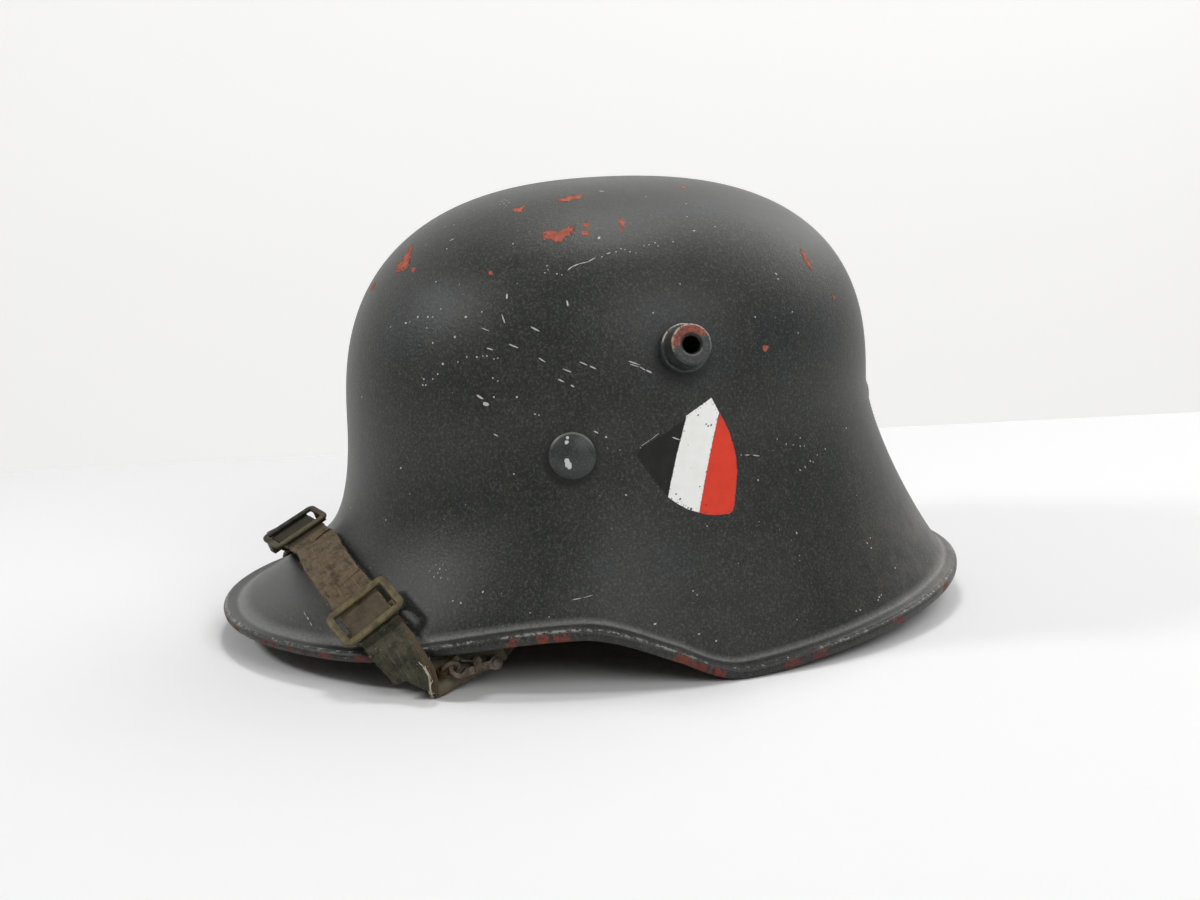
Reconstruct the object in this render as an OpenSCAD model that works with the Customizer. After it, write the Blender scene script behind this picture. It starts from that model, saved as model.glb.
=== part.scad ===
// Steel helmet with a flared brim, an inside liner and a stowed chinstrap.
// Frame: the visor points to -Y, the wearer's left is +X, up is +Z, and the table is Z = 0.

/* [Skull] */
// Height of the crown above the table
crown_z = 178; // [170:1:186]
// Half width of the skull at its widest level
skull_half_w = 93; // [90:0.5:96]
// Reach of the skull from the head centre to the front
skull_front = 109; // [105:0.5:112]
// Reach of the skull from the head centre to the back
skull_rear = 105.5; // [102:0.5:109]
// Level of the widest line at the front, above the table
girth_z_front = 87; // [84:1:90]
// Level of the widest line at the sides, above the table
girth_z_side = 90; // [87:1:93]
// Level of the widest line at the back, above the table
girth_z_rear = 95; // [92:1:98]
// Roundness of the dome, 2 is an ellipse and more is squarer
dome_power = 2.53; // [2.4:0.01:2.7]
// Thickness of the steel sheet
sheet_t = 1.2; // [1:0.05:1.4]

/* [Brim] */
// Reach of the brim from the head centre to the front
visor_reach = 164; // [158:1:170]
// Reach of the brim from the head centre to the back
nape_reach = 144; // [140:1:150]
// Half width of the brim
brim_half_w = 118; // [115:0.5:121]
// Height of the rim under the visor
visor_z = 10.8; // [9:0.2:13]
// Height of the rim at the arch before the ear
arch_z = 20.6; // [18:0.2:23]
// Height of the rim at the nape
nape_z = 12.3; // [10:0.2:15]
// Slope of the visor where it meets the rim, in degrees
visor_slope = 25.5; // [22:0.5:30]
// Slope of the side wall where it meets the rim, in degrees
side_slope = 70; // [65:1:74]
// Slope of the nape where it meets the rim, in degrees
nape_slope = 51.5; // [47:0.5:56]
// Depth of the turned lip at the visor
lip_visor = 2.6; // [2.4:0.1:3]
// Depth of the turned lip at the sides and the nape
lip_side = 3.8; // [3.4:0.1:4.2]
// Thickness of the folded lip
lip_t = 2.6; // [2.4:0.1:2.8]

/* [Lugs and pins] */
// Height of the side lugs on the skull
lug_z = 121.5; // [118:0.5:124]
// Angle of the side lugs from the front, round the head
lug_turn = 94.8; // [92:0.2:98]
// Tilt of the lug's axis above the horizontal, in degrees
lug_tilt = 18; // [15:1:21]
// Radius of the lug's drum
lug_r = 7.75; // [7:0.05:8.2]
// Radius of the lug's base ring
lug_base_r = 9.25; // [8.8:0.05:10]
// Height of the lug's base ring
lug_base_h = 3.2; // [2.6:0.1:3.8]
// Height of the whole lug above the shell
lug_h = 11; // [9:0.5:12]
// Radius of the vent bore through the lug
vent_r = 3.3; // [3:0.05:3.6]
// Height of the liner pins on the shell
pin_z = 84.4; // [83:0.1:86]
// Angle of the side pins from the front, round the head
pin_turn = 73; // [71:0.5:74]
// Radius of a liner pin's domed head
pin_head_r = 8.85; // [8:0.05:9.5]
// Height of a liner pin's domed head
pin_head_h = 3; // [2.5:0.1:3.5]

/* [Liner] */
// Lower edge of the liner band
band_z = 70; // [69:0.5:72]
// Height of the liner band
band_h = 24; // [22:0.5:26]
// Thickness of the liner band
band_t = 1; // [0.8:0.05:1.1]
// Space between the shell and the liner band
band_gap = 1.6; // [1.5:0.05:1.9]
// Thickness of the pad leather
pad_t = 1.8; // [1.5:0.1:2]
// Height of the finger tips under the crown
tip_z = 148; // [144:1:152]
// Distance of the finger tips from the head centre
tip_r = 37; // [35:1:40]
// Thickness of a stuffed cushion at its middle
cushion_t = 9; // [7:0.5:10]
// Radius of the lace cord
lace_r = 1; // [0.8:0.05:1.2]

/* [Chinstrap] */
// Width of the strap
strap_w = 18; // [17:0.5:19]
// Thickness of the strap leather
strap_t = 2; // [1.6:0.1:2.2]
// Inside width of the large buckle
big_buckle_in_w = 21.5; // [21:0.5:23]
// Length of the large buckle along the strap
big_buckle_l = 20; // [18:0.5:21]
// Inside width of the small buckle
small_buckle_in_w = 20.5; // [20:0.5:22]
// Length of the small buckle along the strap
small_buckle_l = 14.5; // [14:0.5:16]
// Width of a large buckle's frame bar
big_bar = 3.2; // [2.6:0.1:3.6]
// Width of a small buckle's frame bar
small_bar = 2.6; // [2.2:0.1:3]
// Travel of the large buckle up the strap
big_travel = 8; // [4:0.5:9]
// Travel of the small buckle down the strap
small_travel = 5; // [3:0.5:6]
// Radius of the wire of the two band rings
ring_wire_r = 1.1; // [1:0.05:1.2]
// Clearance round a wire or a pin in its bore
wire_clear = 0.08; // [0.04:0.01:0.1]

/* [Hidden] */
$fn = 48;

steel_col = [0.22, 0.23, 0.22];
wire_col = [0.35, 0.28, 0.22];
leather_col = [0.36, 0.27, 0.18];
far_leather_col = [0.31, 0.28, 0.2];
near_leather_col = [0.29, 0.3, 0.24];
liner_col = [0.5, 0.36, 0.22];
cushion_col = [0.62, 0.58, 0.48];
brass_col = [0.42, 0.37, 0.2];

// Centre of the head, which puts the middle of the brim's length on the origin
head_y = (visor_reach - nape_reach) / 2;
// The skull's outline is almost an ellipse, and the brim's a little squarer
skull_power_front = 2.08;
skull_power_rear = 2.05;
brim_power_front = 2.1;
brim_power_rear = 2;
// Lean of the crown towards the back
crown_lean = 1.4;
// Angles from the front at which the rim changes height
brow_a = 41;
arch_a = 77.5;
ear_a = 100;
nape_ease = 0.67;
// Width of the turned flange and its drop from the crease, at the visor and elsewhere
flange_visor = 6.6;
flange_side = 5.4;
flange_drop_visor = 0.5;
flange_drop_side = 2;
// Weights of the flare's curve, at the front, side and back
flare_start = [0.78, 0.38, 0.26];
flare_end = [0.68, 0.5, 0.58];
shell_steps = 90;
dome_rings = 14;
flare_rings = 12;
tiny = 0.01;
// Play of a rivet in its hole
hole_play = 0.05;
// Degrees in a radian
deg = 180 / PI;

function sign1(v) = v < 0 ? -1 : 1;
function unit(v) = v / norm(v);
function mix(a, b, t) = a + (b - a) * t;
function ease(a, b, t) = let (u = min(1, max(0, t))) a + (b - a) * u * u * (3 - 2 * u);
function turn3(a, v) = let (c = cos(a)) v[1] + ((c > 0 ? v[0] : v[2]) - v[1]) * c * c;
function oval(a, front, rear, half, pf, pr) =
    let (c = cos(a), s = sin(a), p = c > 0 ? pf : pr, reach = c > 0 ? front : rear)
    [sign1(s) * half * pow(abs(s), 2 / p), -sign1(c) * reach * pow(abs(c), 2 / p)];
function skull_at(a, inset) = oval(a, skull_front - inset, skull_rear - inset, skull_half_w - inset,
                                   skull_power_front, skull_power_rear);
function brim_at(a) = oval(a, visor_reach, nape_reach, brim_half_w, brim_power_front, brim_power_rear);
function out_of(p, q) = let (t = q - p) unit([t[1], -t[0]]);
function brim_out(a) = out_of(brim_at(a - 0.5), brim_at(a + 0.5));
function skull_out(a) = out_of(skull_at(a - 0.5, 0), skull_at(a + 0.5, 0));
function round_turn(a) = a > 180 ? 360 - a : abs(a);
function rim_z(angle) = let (a = round_turn(angle))
    a < brow_a ? visor_z
    : a < arch_a ? ease(visor_z, arch_z, (a - brow_a) / (arch_a - brow_a))
    : a < ear_a ? ease(arch_z, 0, (a - arch_a) / (ear_a - arch_a))
    : ease(0, nape_z, pow((a - ear_a) / (180 - ear_a), nape_ease));
function lip_h(a) = turn3(a, [lip_visor, lip_side, lip_side]);
function flange_w(a) = turn3(a, [flange_visor, flange_side, flange_side]);
function flange_drop(a) = turn3(a, [flange_drop_visor, flange_drop_side, flange_drop_side]);
function crease_z(a) = rim_z(a) + lip_h(a) + flange_drop(a);
function girth_z(a) = turn3(a, [girth_z_front, girth_z_side, girth_z_rear]);

// Point on the outer face: s from 0 at the crown to 1 at the widest line, and on to 2 at the crease
function dome_pt(a, s) =
    let (g = girth_z(a), k = pow(sin(90 * s), 2 / dome_power), r = pow(cos(90 * s), 2 / dome_power),
         z = g + (crown_z - g) * r, p = skull_at(a, 0) * k)
    [p[0], p[1] + crown_lean * r + head_y, z];
function flare_pt(a, t) =
    let (g = girth_z(a), zc = crease_z(a), p = skull_at(a, 0), q = brim_at(a) - brim_out(a) * flange_w(a),
         reach = norm(q - p), slope = turn3(a, [visor_slope, side_slope, nape_slope]),
         k1 = turn3(a, flare_start), k2 = turn3(a, flare_end),
         z1 = g - k1 * (g - zc), u2 = 1 - k2 * cos(slope), z2 = zc + k2 * reach * sin(slope),
         b1 = 3 * (1 - t) * (1 - t) * t, b2 = 3 * (1 - t) * t * t, b3 = t * t * t,
         u = b2 * u2 + b3, z = pow(1 - t, 3) * g + b1 * z1 + b2 * z2 + b3 * zc,
         xy = p * (1 - u) + q * u)
    [xy[0], xy[1] + head_y, z];
function shell_pt(a, s) = s <= 1 ? dome_pt(a, s) : flare_pt(a, s - 1);
function shell_out(a, s) =
    let (e = 0.02, u = shell_pt(a, min(2, s + e)) - shell_pt(a, s - e),
         v = shell_pt(a + 1, s) - shell_pt(a - 1, s))
    unit(cross(u, v));
function shell_in(a, s, depth) = shell_pt(a, s) - shell_out(a, s) * depth;
// Place on the outer face at a height, found by halving
function s_at(a, z, lo = 0.02, hi = 2, n = 16) =
    let (m = (lo + hi) / 2)
    n == 0 ? m
    : shell_pt(a, m)[2] > z ? s_at(a, z, m, hi, n - 1)
    : s_at(a, z, lo, m, n - 1);
// The rim's section: distance inside the brim's edge, and height above the rim's lowest line
function rim_section(a) =
    let (w = flange_w(a), h = lip_h(a), top = crease_z(a) - rim_z(a))
    [[w * 0.55, mix(h, top, 0.6) + 0.15], [1.1, h + 0.3], [0.25, h - 0.5], [0, h - 1.4], [0.1, 0.7],
     [0.8, 0], [lip_t - 0.7, 0], [lip_t, 0.6], [lip_t + 0.1, h - 1.3],
     [w * 0.75, mix(h, top, 0.7) - sheet_t]];
function rim_pt(a, q) = let (p = brim_at(a) - brim_out(a) * q[0]) [p[0], p[1] + head_y, rim_z(a) + q[1]];
// Places that follow the shell: above its outer face, and by the rim's outer edge and lowest line
function above_shell(a, s, lift) = shell_pt(a, s) + shell_out(a, s) * lift;
function by_rim(a, inside, up) = rim_pt(a, [inside, up]);
function meridian(a) = concat(
    [for (i = [1:dome_rings]) shell_pt(a, i / dome_rings)],
    [for (i = [1:flare_rings]) shell_pt(a, 1 + i / flare_rings)],
    [for (q = rim_section(a)) rim_pt(a, q)],
    [for (i = [flare_rings:-1:1]) shell_in(a, 1 + i / flare_rings, sheet_t)],
    [for (i = [dome_rings:-1:1]) shell_in(a, i / dome_rings, sheet_t)]);

// Puts children at p with their X along u and their Z towards w
module aim(p, u, w) {
    x = unit(u);
    y = unit(cross(w, x));
    z = cross(x, y);
    translate(p) rotate([atan2(y[2], z[2]), asin(-x[2]), atan2(x[1], x[0])]) children();
}
// Puts children at p with their Z along w and their X level
module aim_out(p, w) {
    aim(p, cross([0, 0, 1], w), w) children();
}

// A closed slab from two faces of rows by cols points, with some squares left open by slit
function has(i, j, rows, cols, slit) =
    i >= 0 && j >= 0 && i < rows - 1 && j < cols - 1 && !(j == slit[1] && i >= slit[0]);
function slab_faces(rows, cols, slit) =
    let (n = rows * cols)
    [for (i = [0:rows - 2]) for (j = [0:cols - 2]) if (has(i, j, rows, cols, slit))
        let (a = i * cols + j, b = a + 1, c = a + cols + 1, d = a + cols)
        for (f = concat(
            [[a, b, c], [a, c, d], [a + n, c + n, b + n], [a + n, d + n, c + n]],
            has(i - 1, j, rows, cols, slit) ? [] : [[a, b + n, b], [a, a + n, b + n]],
            has(i + 1, j, rows, cols, slit) ? [] : [[c, d + n, d], [c, c + n, d + n]],
            has(i, j - 1, rows, cols, slit) ? [] : [[d, a + n, a], [d, d + n, a + n]],
            has(i, j + 1, rows, cols, slit) ? [] : [[b, c + n, c], [b, b + n, c + n]])) f];
module slab(face_a, face_b, rows, cols, slit = [9999, -1]) {
    polyhedron(concat(face_a, face_b), slab_faces(rows, cols, slit), convexity = 6);
}

module shell_body() {
    rings = len(meridian(0));
    body = [for (k = [0:shell_steps - 1]) for (p = meridian(k * 360 / shell_steps)) p];
    top = len(body);
    crown = [0, crown_lean + head_y, crown_z];
    points = concat(body, [crown, crown - [0, 0, sheet_t]]);
    faces = [for (k = [0:shell_steps - 1])
        let (m = k * rings, n = ((k + 1) % shell_steps) * rings)
        for (f = concat(
            [[top, n, m], [top + 1, m + rings - 1, n + rings - 1]],
            [for (i = [0:rings - 2])
                for (g = [[m + i, n + i, m + i + 1], [n + i, n + i + 1, m + i + 1]]) g])) f];
    polyhedron(points, faces, convexity = 6);
}

// Lugs
lug_s = s_at(lug_turn, lug_z);
lug_at = shell_pt(lug_turn, lug_s);
lug_side_turn = 5;
lug_axis = [cos(lug_tilt) * cos(lug_side_turn), cos(lug_tilt) * sin(lug_side_turn), sin(lug_tilt)];
lug_neck_r = 5.2;
lug_hole_r = lug_neck_r + 0.05;
// Spheres that stand for the shell's outer and inner faces at the lug
lug_seat_out_r = 135;
lug_seat_in_r = 60;
lug_collar_r = 7.6;
lug_collar_h = 1.4;
lug_depth = sheet_t + lug_collar_h + 0.3;
module lug_seat(r, depth) {
    n = shell_out(lug_turn, lug_s);
    translate(lug_at - n * (r + depth)) sphere(r, $fn = 96);
}
module vent_lug() {
    mouth = 0.8;
    edge = 0.7;
    color(steel_col) difference() {
        union() {
            difference() {
                aim_out(lug_at, lug_axis) rotate_extrude() polygon([
                    [0, -4], [lug_base_r, -4], [lug_base_r, lug_base_h - 0.5], [lug_base_r - 0.5, lug_base_h],
                    [lug_r, lug_base_h], [lug_r, lug_h - edge], [lug_r - edge, lug_h], [0, lug_h]]);
                lug_seat(lug_seat_out_r, -0.15);
            }
            aim_out(lug_at, lug_axis) translate([0, 0, -sheet_t - 1])
                cylinder(r = lug_neck_r, h = sheet_t + 2.2);
            intersection() {
                lug_seat(lug_seat_in_r, sheet_t + 0.25);
                aim_out(lug_at, lug_axis) translate([0, 0, -lug_depth - 0.9])
                    cylinder(r = lug_collar_r, h = 4);
            }
        }
        aim_out(lug_at, lug_axis) {
            translate([0, 0, -8]) cylinder(r = vent_r, h = lug_h + 9);
            translate([0, 0, lug_h - mouth]) cylinder(r1 = vent_r, r2 = vent_r + mouth, h = mouth + tiny);
        }
    }
}
module vent_lug_left() { vent_lug(); }
module vent_lug_right() { mirror([1, 0, 0]) vent_lug(); }

// Liner pins, each a dome head with two prongs that spread inside the band
pin_hole_r = 3.4;
prong_w = 6;
prong_t = 1;
prong_reach = 11;
washer_r = 6.2;
washer_h = 0.9;
module at_pin(a) {
    s = s_at(a, pin_z);
    aim_out(shell_pt(a, s), shell_out(a, s)) children();
}
// Depth of the band's inner face under the shell at a pin, with room for the tilt of the pin
function pin_bend(a) =
    let (s = s_at(a, pin_z), n = shell_out(a, s))
    (shell_pt(a, s) - band_pt(a, band_inset + band_t, pin_z)) * n + prong_w / 2 * abs(n[2]) + 0.4;
module liner_pin(bend) {
    ball = (pin_head_r * pin_head_r + pin_head_h * pin_head_h) / (2 * pin_head_h);
    lift = 0.7;
    color(steel_col) {
        intersection() {
            translate([0, 0, lift + pin_head_h - ball]) sphere(ball, $fn = 96);
            translate([0, 0, lift]) cylinder(r = pin_head_r, h = pin_head_h);
        }
        for (side = [-1, 1])
            rotate([90, 0, 0]) translate([0, 0, -prong_w / 2]) linear_extrude(prong_w)
                polygon([[0, lift + 0.5], [side * prong_t, lift + 0.5], [side * prong_t, -bend],
                         [side * prong_reach, -bend - 0.8], [side * prong_reach, -bend - 0.8 - prong_t],
                         [side * 0.05, -bend - prong_t], [0, -bend - prong_t + 0.3]]);
    }
}
module pin_washer() {
    color(steel_col) translate([0, 0, -sheet_t - 0.3 - washer_h]) difference() {
        cylinder(r = washer_r, h = washer_h);
        translate([0, 0, -1]) cylinder(r = pin_hole_r, h = washer_h + 2);
    }
}
module liner_pin_left() { at_pin(pin_turn) liner_pin(pin_bend(pin_turn)); }
module liner_pin_right() { mirror([1, 0, 0]) liner_pin_left(); }
module liner_pin_rear() { at_pin(180) liner_pin(pin_bend(180)); }
module pin_washer_left() { at_pin(pin_turn) pin_washer(); }
module pin_washer_right() { mirror([1, 0, 0]) at_pin(pin_turn) pin_washer(); }
module pin_washer_rear() { at_pin(180) pin_washer(); }

module shell() {
    color(steel_col) difference() {
        shell_body();
        for (side = [0, 1]) mirror([side, 0, 0]) {
            aim_out(lug_at, lug_axis) translate([0, 0, -5]) cylinder(r = lug_hole_r, h = 8);
            at_pin(pin_turn) translate([0, 0, -3]) cylinder(r = pin_hole_r, h = 5);
        }
        at_pin(180) translate([0, 0, -3]) cylinder(r = pin_hole_r, h = 5);
    }
}

// Liner band and the rivets that hold the pads
pad_rivet_z = band_z + 6;
pad_rivet_r = 1.3;
// Middle and half width of the pads, in degrees round the head, and the share at which their rivets sit
front_pad = [0, 60];
side_pad = [123, 42];
function rivet_turns(pad, share) = [for (k = [-1, 0, 1]) pad[0] + k * share * pad[1]];
front_rivets = rivet_turns(front_pad, 0.77);
side_rivets = rivet_turns(side_pad, 0.71);
pad_rivet_turns = concat(front_rivets, side_rivets, -side_rivets);
band_inset = sheet_t + band_gap;
function band_pt(a, inset, z) = let (p = skull_at(a, inset)) [p[0], p[1] + head_y, z];
function level_out(a) = let (n = skull_out(a)) [n[0], n[1], 0];
module at_band(a, z) {
    aim_out(band_pt(a, band_inset + band_t, z), level_out(a)) children();
}
module liner_band() {
    outline = [for (k = [0:shell_steps - 1]) band_pt(k * 360 / shell_steps, band_inset, 0)];
    inline = [for (k = [0:shell_steps - 1]) band_pt(k * 360 / shell_steps, band_inset + band_t, 0)];
    color("silver") difference() {
        translate([0, 0, band_z]) linear_extrude(band_h) difference() {
            polygon([for (p = outline) [p[0], p[1]]]);
            polygon([for (p = inline) [p[0], p[1]]]);
        }
        for (a = pad_rivet_turns)
            at_band(a, pad_rivet_z) translate([0, 0, -3]) cylinder(r = pad_rivet_r + hole_play, h = 6);
        for (side = [0, 1]) mirror([side, 0, 0]) {
            at_pin(pin_turn) translate([0, 0, -7]) cylinder(r = pin_hole_r, h = 6);
            bracket_bolts() cylinder(r = bracket_rivet_r + hole_play, h = 6, center = true);
        }
        at_pin(180) translate([0, 0, -7]) cylinder(r = pin_hole_r, h = 6);
    }
}
module pad_rivets() {
    inside = pad_t + pad_gap * 3;
    color("silver") for (a = pad_rivet_turns) at_band(a, pad_rivet_z) {
        translate([0, 0, -inside - 1]) cylinder(r1 = 2.4, r2 = 3, h = 1);
        translate([0, 0, -inside - 0.5]) cylinder(r = pad_rivet_r, h = inside + band_t + 1);
        translate([0, 0, band_t + 0.1]) cylinder(r = 2.1, h = 0.6);
    }
}

// Leather pads. v runs from 0 at the band's foot to 1 at the finger tips
pad_gap = 0.15;
pad_fold_z = band_z + 19;
pad_rows = 13;
pad_cols = 18;
pad_base_rows = 3;
finger_tip_half = 8;
// Where a finger's middle line ends, as a share of the pad's half width
finger_share = 0.52;
function pad_mid(a, v) =
    let (inset = band_inset + band_t + pad_gap + pad_t / 2, foot = 0.22, p = skull_at(a, inset),
         u = max(0, (v - foot) / (1 - foot)), w = pow(1 - cos(90 * u), 0.75),
         z = v < foot ? mix(band_z + 1, pad_fold_z, v / foot) : mix(pad_fold_z, tip_z, sin(90 * u)),
         q = [tip_r * sin(a), -tip_r * cos(a)], xy = p * (1 - w) + q * w)
    [xy[0], xy[1] + head_y, z];
function pad_normal(a, v) = let (e = 0.03)
    unit(cross(pad_mid(a, max(0, v - e)) - pad_mid(a, min(1, v + e)), pad_mid(a - 2, v) - pad_mid(a + 2, v)));
function pad_face(a, v, off) = pad_mid(a, v) + pad_normal(a, v) * off;
// Angle across the pad: two fingers that narrow from the foot to their tips
function pad_angle(mid_a, half_a, j, v) =
    let (side = j < pad_cols / 2 ? -1 : 1, k = side < 0 ? j : pad_cols - 1 - j, f = k / (pad_cols / 2 - 1),
         grow = max(0, (v - 0.34) / 0.66), finger_a = half_a * finger_share,
         round_off = v > 0.93 ? sqrt(1 - pow((v - 0.93) / 0.075, 2)) : 1,
         r = norm([for (i = [0:1]) (pad_mid(mid_a + side * finger_a, v) - [0, head_y, 0])[i]]),
         tip_a = finger_tip_half / r * deg * (0.35 + 0.65 * round_off),
         outer = mix(half_a, finger_a + tip_a, pow(grow, 1.7)),
         inner = mix(0.9, finger_a - tip_a, pow(grow, 2.2)))
    mid_a + side * mix(outer, inner, f);
module liner_pad(pad, rivets) {
    mid_a = pad[0];
    half_a = pad[1];
    function row_v(i) = i < 4 ? i * 0.11 : mix(0.33, 1, pow((i - 3) / (pad_rows - 4), 0.9));
    outer = [for (i = [0:pad_rows - 1]) for (j = [0:pad_cols - 1])
        pad_face(pad_angle(mid_a, half_a, j, row_v(i)), row_v(i), pad_t / 2)];
    inner = [for (i = [0:pad_rows - 1]) for (j = [0:pad_cols - 1])
        pad_face(pad_angle(mid_a, half_a, j, row_v(i)), row_v(i), -pad_t / 2)];
    color(liner_col) difference() {
        slab(outer, inner, pad_rows, pad_cols, [pad_base_rows, pad_cols / 2 - 1]);
        for (side = [-1, 1]) lace_hole(mid_a + side * half_a * finger_share);
        for (a = rivets) at_band(a, pad_rivet_z) translate([0, 0, -4])
            cylinder(r = pad_rivet_r + hole_play, h = 5);
    }
}
lace_v = 0.93;
lace_hole_r = 2.9;
module lace_hole(a) {
    aim_out(pad_mid(a, lace_v), pad_normal(a, lace_v)) translate([0, 0, -4]) cylinder(r = lace_hole_r, h = 8);
}
module liner_pad_front() { liner_pad(front_pad, front_rivets); }
module liner_pad_left() { liner_pad(side_pad, side_rivets); }
module liner_pad_right() { mirror([1, 0, 0]) liner_pad_left(); }

// Stuffed cushions behind the pads, crowned in the middle and thin at the edge
cushion_rows = 9;
cushion_cols = 17;
cushion_v = [0.36, 0.8];
function swell(u) = pow(max(0, 1 - pow(abs(u), 2.6)), 0.55);
cushion_edge_t = 1.4;
cushion_gap = 0.5;
module cushion(mid_a, half_a) {
    function pt(i, j, top) =
        let (p = 2 * i / (cushion_rows - 1) - 1, q = 2 * j / (cushion_cols - 1) - 1,
             pinch = 1 - 0.1 * (1 - q * q) * (abs(p) > 0.99 ? 1 : 0),
             v = mix(cushion_v[0], cushion_v[1], (p * pinch + 1) / 2),
             a = mid_a + half_a * q * (1 - 0.08 * (1 - p * p)),
             t = top ? cushion_edge_t + (cushion_t - cushion_edge_t) * swell(p) * swell(q) : 0)
        pad_face(a, v, pad_t / 2 + cushion_gap + t);
    back = [for (i = [0:cushion_rows - 1]) for (j = [0:cushion_cols - 1]) pt(i, j, true)];
    front = [for (i = [0:cushion_rows - 1]) for (j = [0:cushion_cols - 1]) pt(i, j, false)];
    color(cushion_col) slab(back, front, cushion_rows, cushion_cols);
}
module cushion_front() { cushion(front_pad[0], front_pad[1] * 0.72); }
module cushion_left() { cushion(side_pad[0], side_pad[1] * 0.8); }
module cushion_right() { mirror([1, 0, 0]) cushion_left(); }

// A tube along points, closed as a loop
function loop_tangent(r, i) = let (n = len(r)) unit(r[(i + 1) % n] - r[(i + n - 1) % n]);
module loop_tube(route, radius, sides) {
    n = len(route);
    points = [for (i = [0:n - 1])
        let (t = loop_tangent(route, i), u = unit(cross([0, 0, 1], t)), w = cross(t, u))
        for (k = [0:sides - 1]) route[i] + (u * cos(360 * k / sides) + w * sin(360 * k / sides)) * radius];
    faces = [for (i = [0:n - 1]) let (m = i * sides, q = ((i + 1) % n) * sides)
        for (k = [0:sides - 1]) let (l = (k + 1) % sides)
            for (f = [[m + k, q + l, m + l], [m + k, q + k, q + l]]) f];
    polyhedron(points, faces, convexity = 8);
}

// The lace: a loop through the six finger holes, over one finger and under the next
finger_turns = [for (p = [front_pad, side_pad, [360 - side_pad[0], side_pad[1]]])
    for (s = [-1, 1]) p[0] + s * p[1] * finger_share];
lace_swing = 2.7;
function lace_turn(k) = let (n = len(finger_turns)) finger_turns[k % n] + 360 * floor(k / n);
function lace_pt(a, off) =
    let (p = pad_mid(a, lace_v), n = pad_normal(a, lace_v)) p + n * off;
module liner_lace() {
    spans = len(finger_turns);
    route = [for (k = [0:spans - 1]) for (f = [0, 0.06, 0.2, 0.35, 0.5, 0.65, 0.8, 0.94])
        let (a = mix(lace_turn(k), lace_turn(k + 1), f), side = k % 2 == 0 ? 1 : -1)
        lace_pt(a, f > 0 ? side * lace_swing : 0)];
    color("ivory") loop_tube(route, lace_r, 8);
}

// Strap brackets on the band, with the wire rings that hang from them
bracket_turn = 66;
bracket_w = 15;
bracket_t = 1;
bracket_top = band_z + 9;
bracket_rivet_z = band_z + 5;
bracket_rivet_r = 1.2;
knuckle_z = band_z - 4.5;
knuckle_l = 12;
knuckle_wall = 1;
ring_w = 22;
ring_l = 13;
ring_corner = 2.2;
module bracket_bolts() {
    for (side = [-1, 1]) at_band(bracket_turn, bracket_rivet_z) translate([side * 4.6, 0, 0]) children();
}
bracket_off = 0.4;
module strap_bracket() {
    r_in = ring_wire_r + wire_clear;
    r_out = r_in + knuckle_wall;
    // The plate is sunk a little into the knuckle, so that the two join
    sink = 0.3;
    color("silver") difference() {
        union() {
            at_band(bracket_turn, 0) translate([-bracket_w / 2, knuckle_z + sink, -bracket_off - bracket_t])
                cube([bracket_w, bracket_top - knuckle_z - sink, bracket_t - sink / 3]);
            at_band(bracket_turn, knuckle_z) translate([0, 0, -bracket_off - r_out]) rotate([0, 90, 0])
                cylinder(r = r_out, h = knuckle_l, center = true);
        }
        bracket_bolts() cylinder(r = bracket_rivet_r + hole_play, h = 8, center = true);
        at_band(bracket_turn, knuckle_z) translate([0, 0, -bracket_off - r_out]) rotate([0, 90, 0])
            cylinder(r = r_in, h = knuckle_l + 6, center = true);
    }
}
module strap_bracket_left() { strap_bracket(); }
module strap_bracket_right() { mirror([1, 0, 0]) strap_bracket(); }
module bracket_rivets() {
    color("silver") for (side = [0, 1]) mirror([side, 0, 0]) bracket_bolts() {
        translate([0, 0, -bracket_off - bracket_t - 1]) cylinder(r1 = 2, r2 = 2.5, h = 0.95);
        translate([0, 0, -bracket_off - bracket_t - 0.5])
            cylinder(r = bracket_rivet_r, h = bracket_off + bracket_t + band_t + 1);
        translate([0, 0, band_t + 0.1]) cylinder(r = 2, h = 0.6);
    }
}
ring_out = bracket_off + ring_wire_r + wire_clear + knuckle_wall;
module wire_rect(w, l, corner, r) {
    for (sx = [-1, 1]) {
        translate([sx * w / 2, -l / 2, 0]) rotate([90, 0, 0])
            cylinder(r = r, h = l - 2 * corner, center = true);
        for (sy = [0, 1])
            translate([sx * (w / 2 - corner), -corner - sy * (l - 2 * corner), 0])
                rotate([0, 0, sx > 0 ? (sy > 0 ? -90 : 0) : (sy > 0 ? 180 : 90)])
                    rotate_extrude(angle = 90) translate([corner, 0]) circle(r);
    }
    for (y = [0, -l])
        translate([0, y, 0]) rotate([0, 90, 0]) cylinder(r = r, h = w - 2 * corner, center = true);
}
module band_ring() {
    color(wire_col) at_band(bracket_turn, knuckle_z) translate([0, 0, -ring_out])
        wire_rect(ring_w, ring_l, ring_corner, ring_wire_r);
}
module band_ring_left() { band_ring(); }
module band_ring_right() { mirror([1, 0, 0]) band_ring(); }

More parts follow.
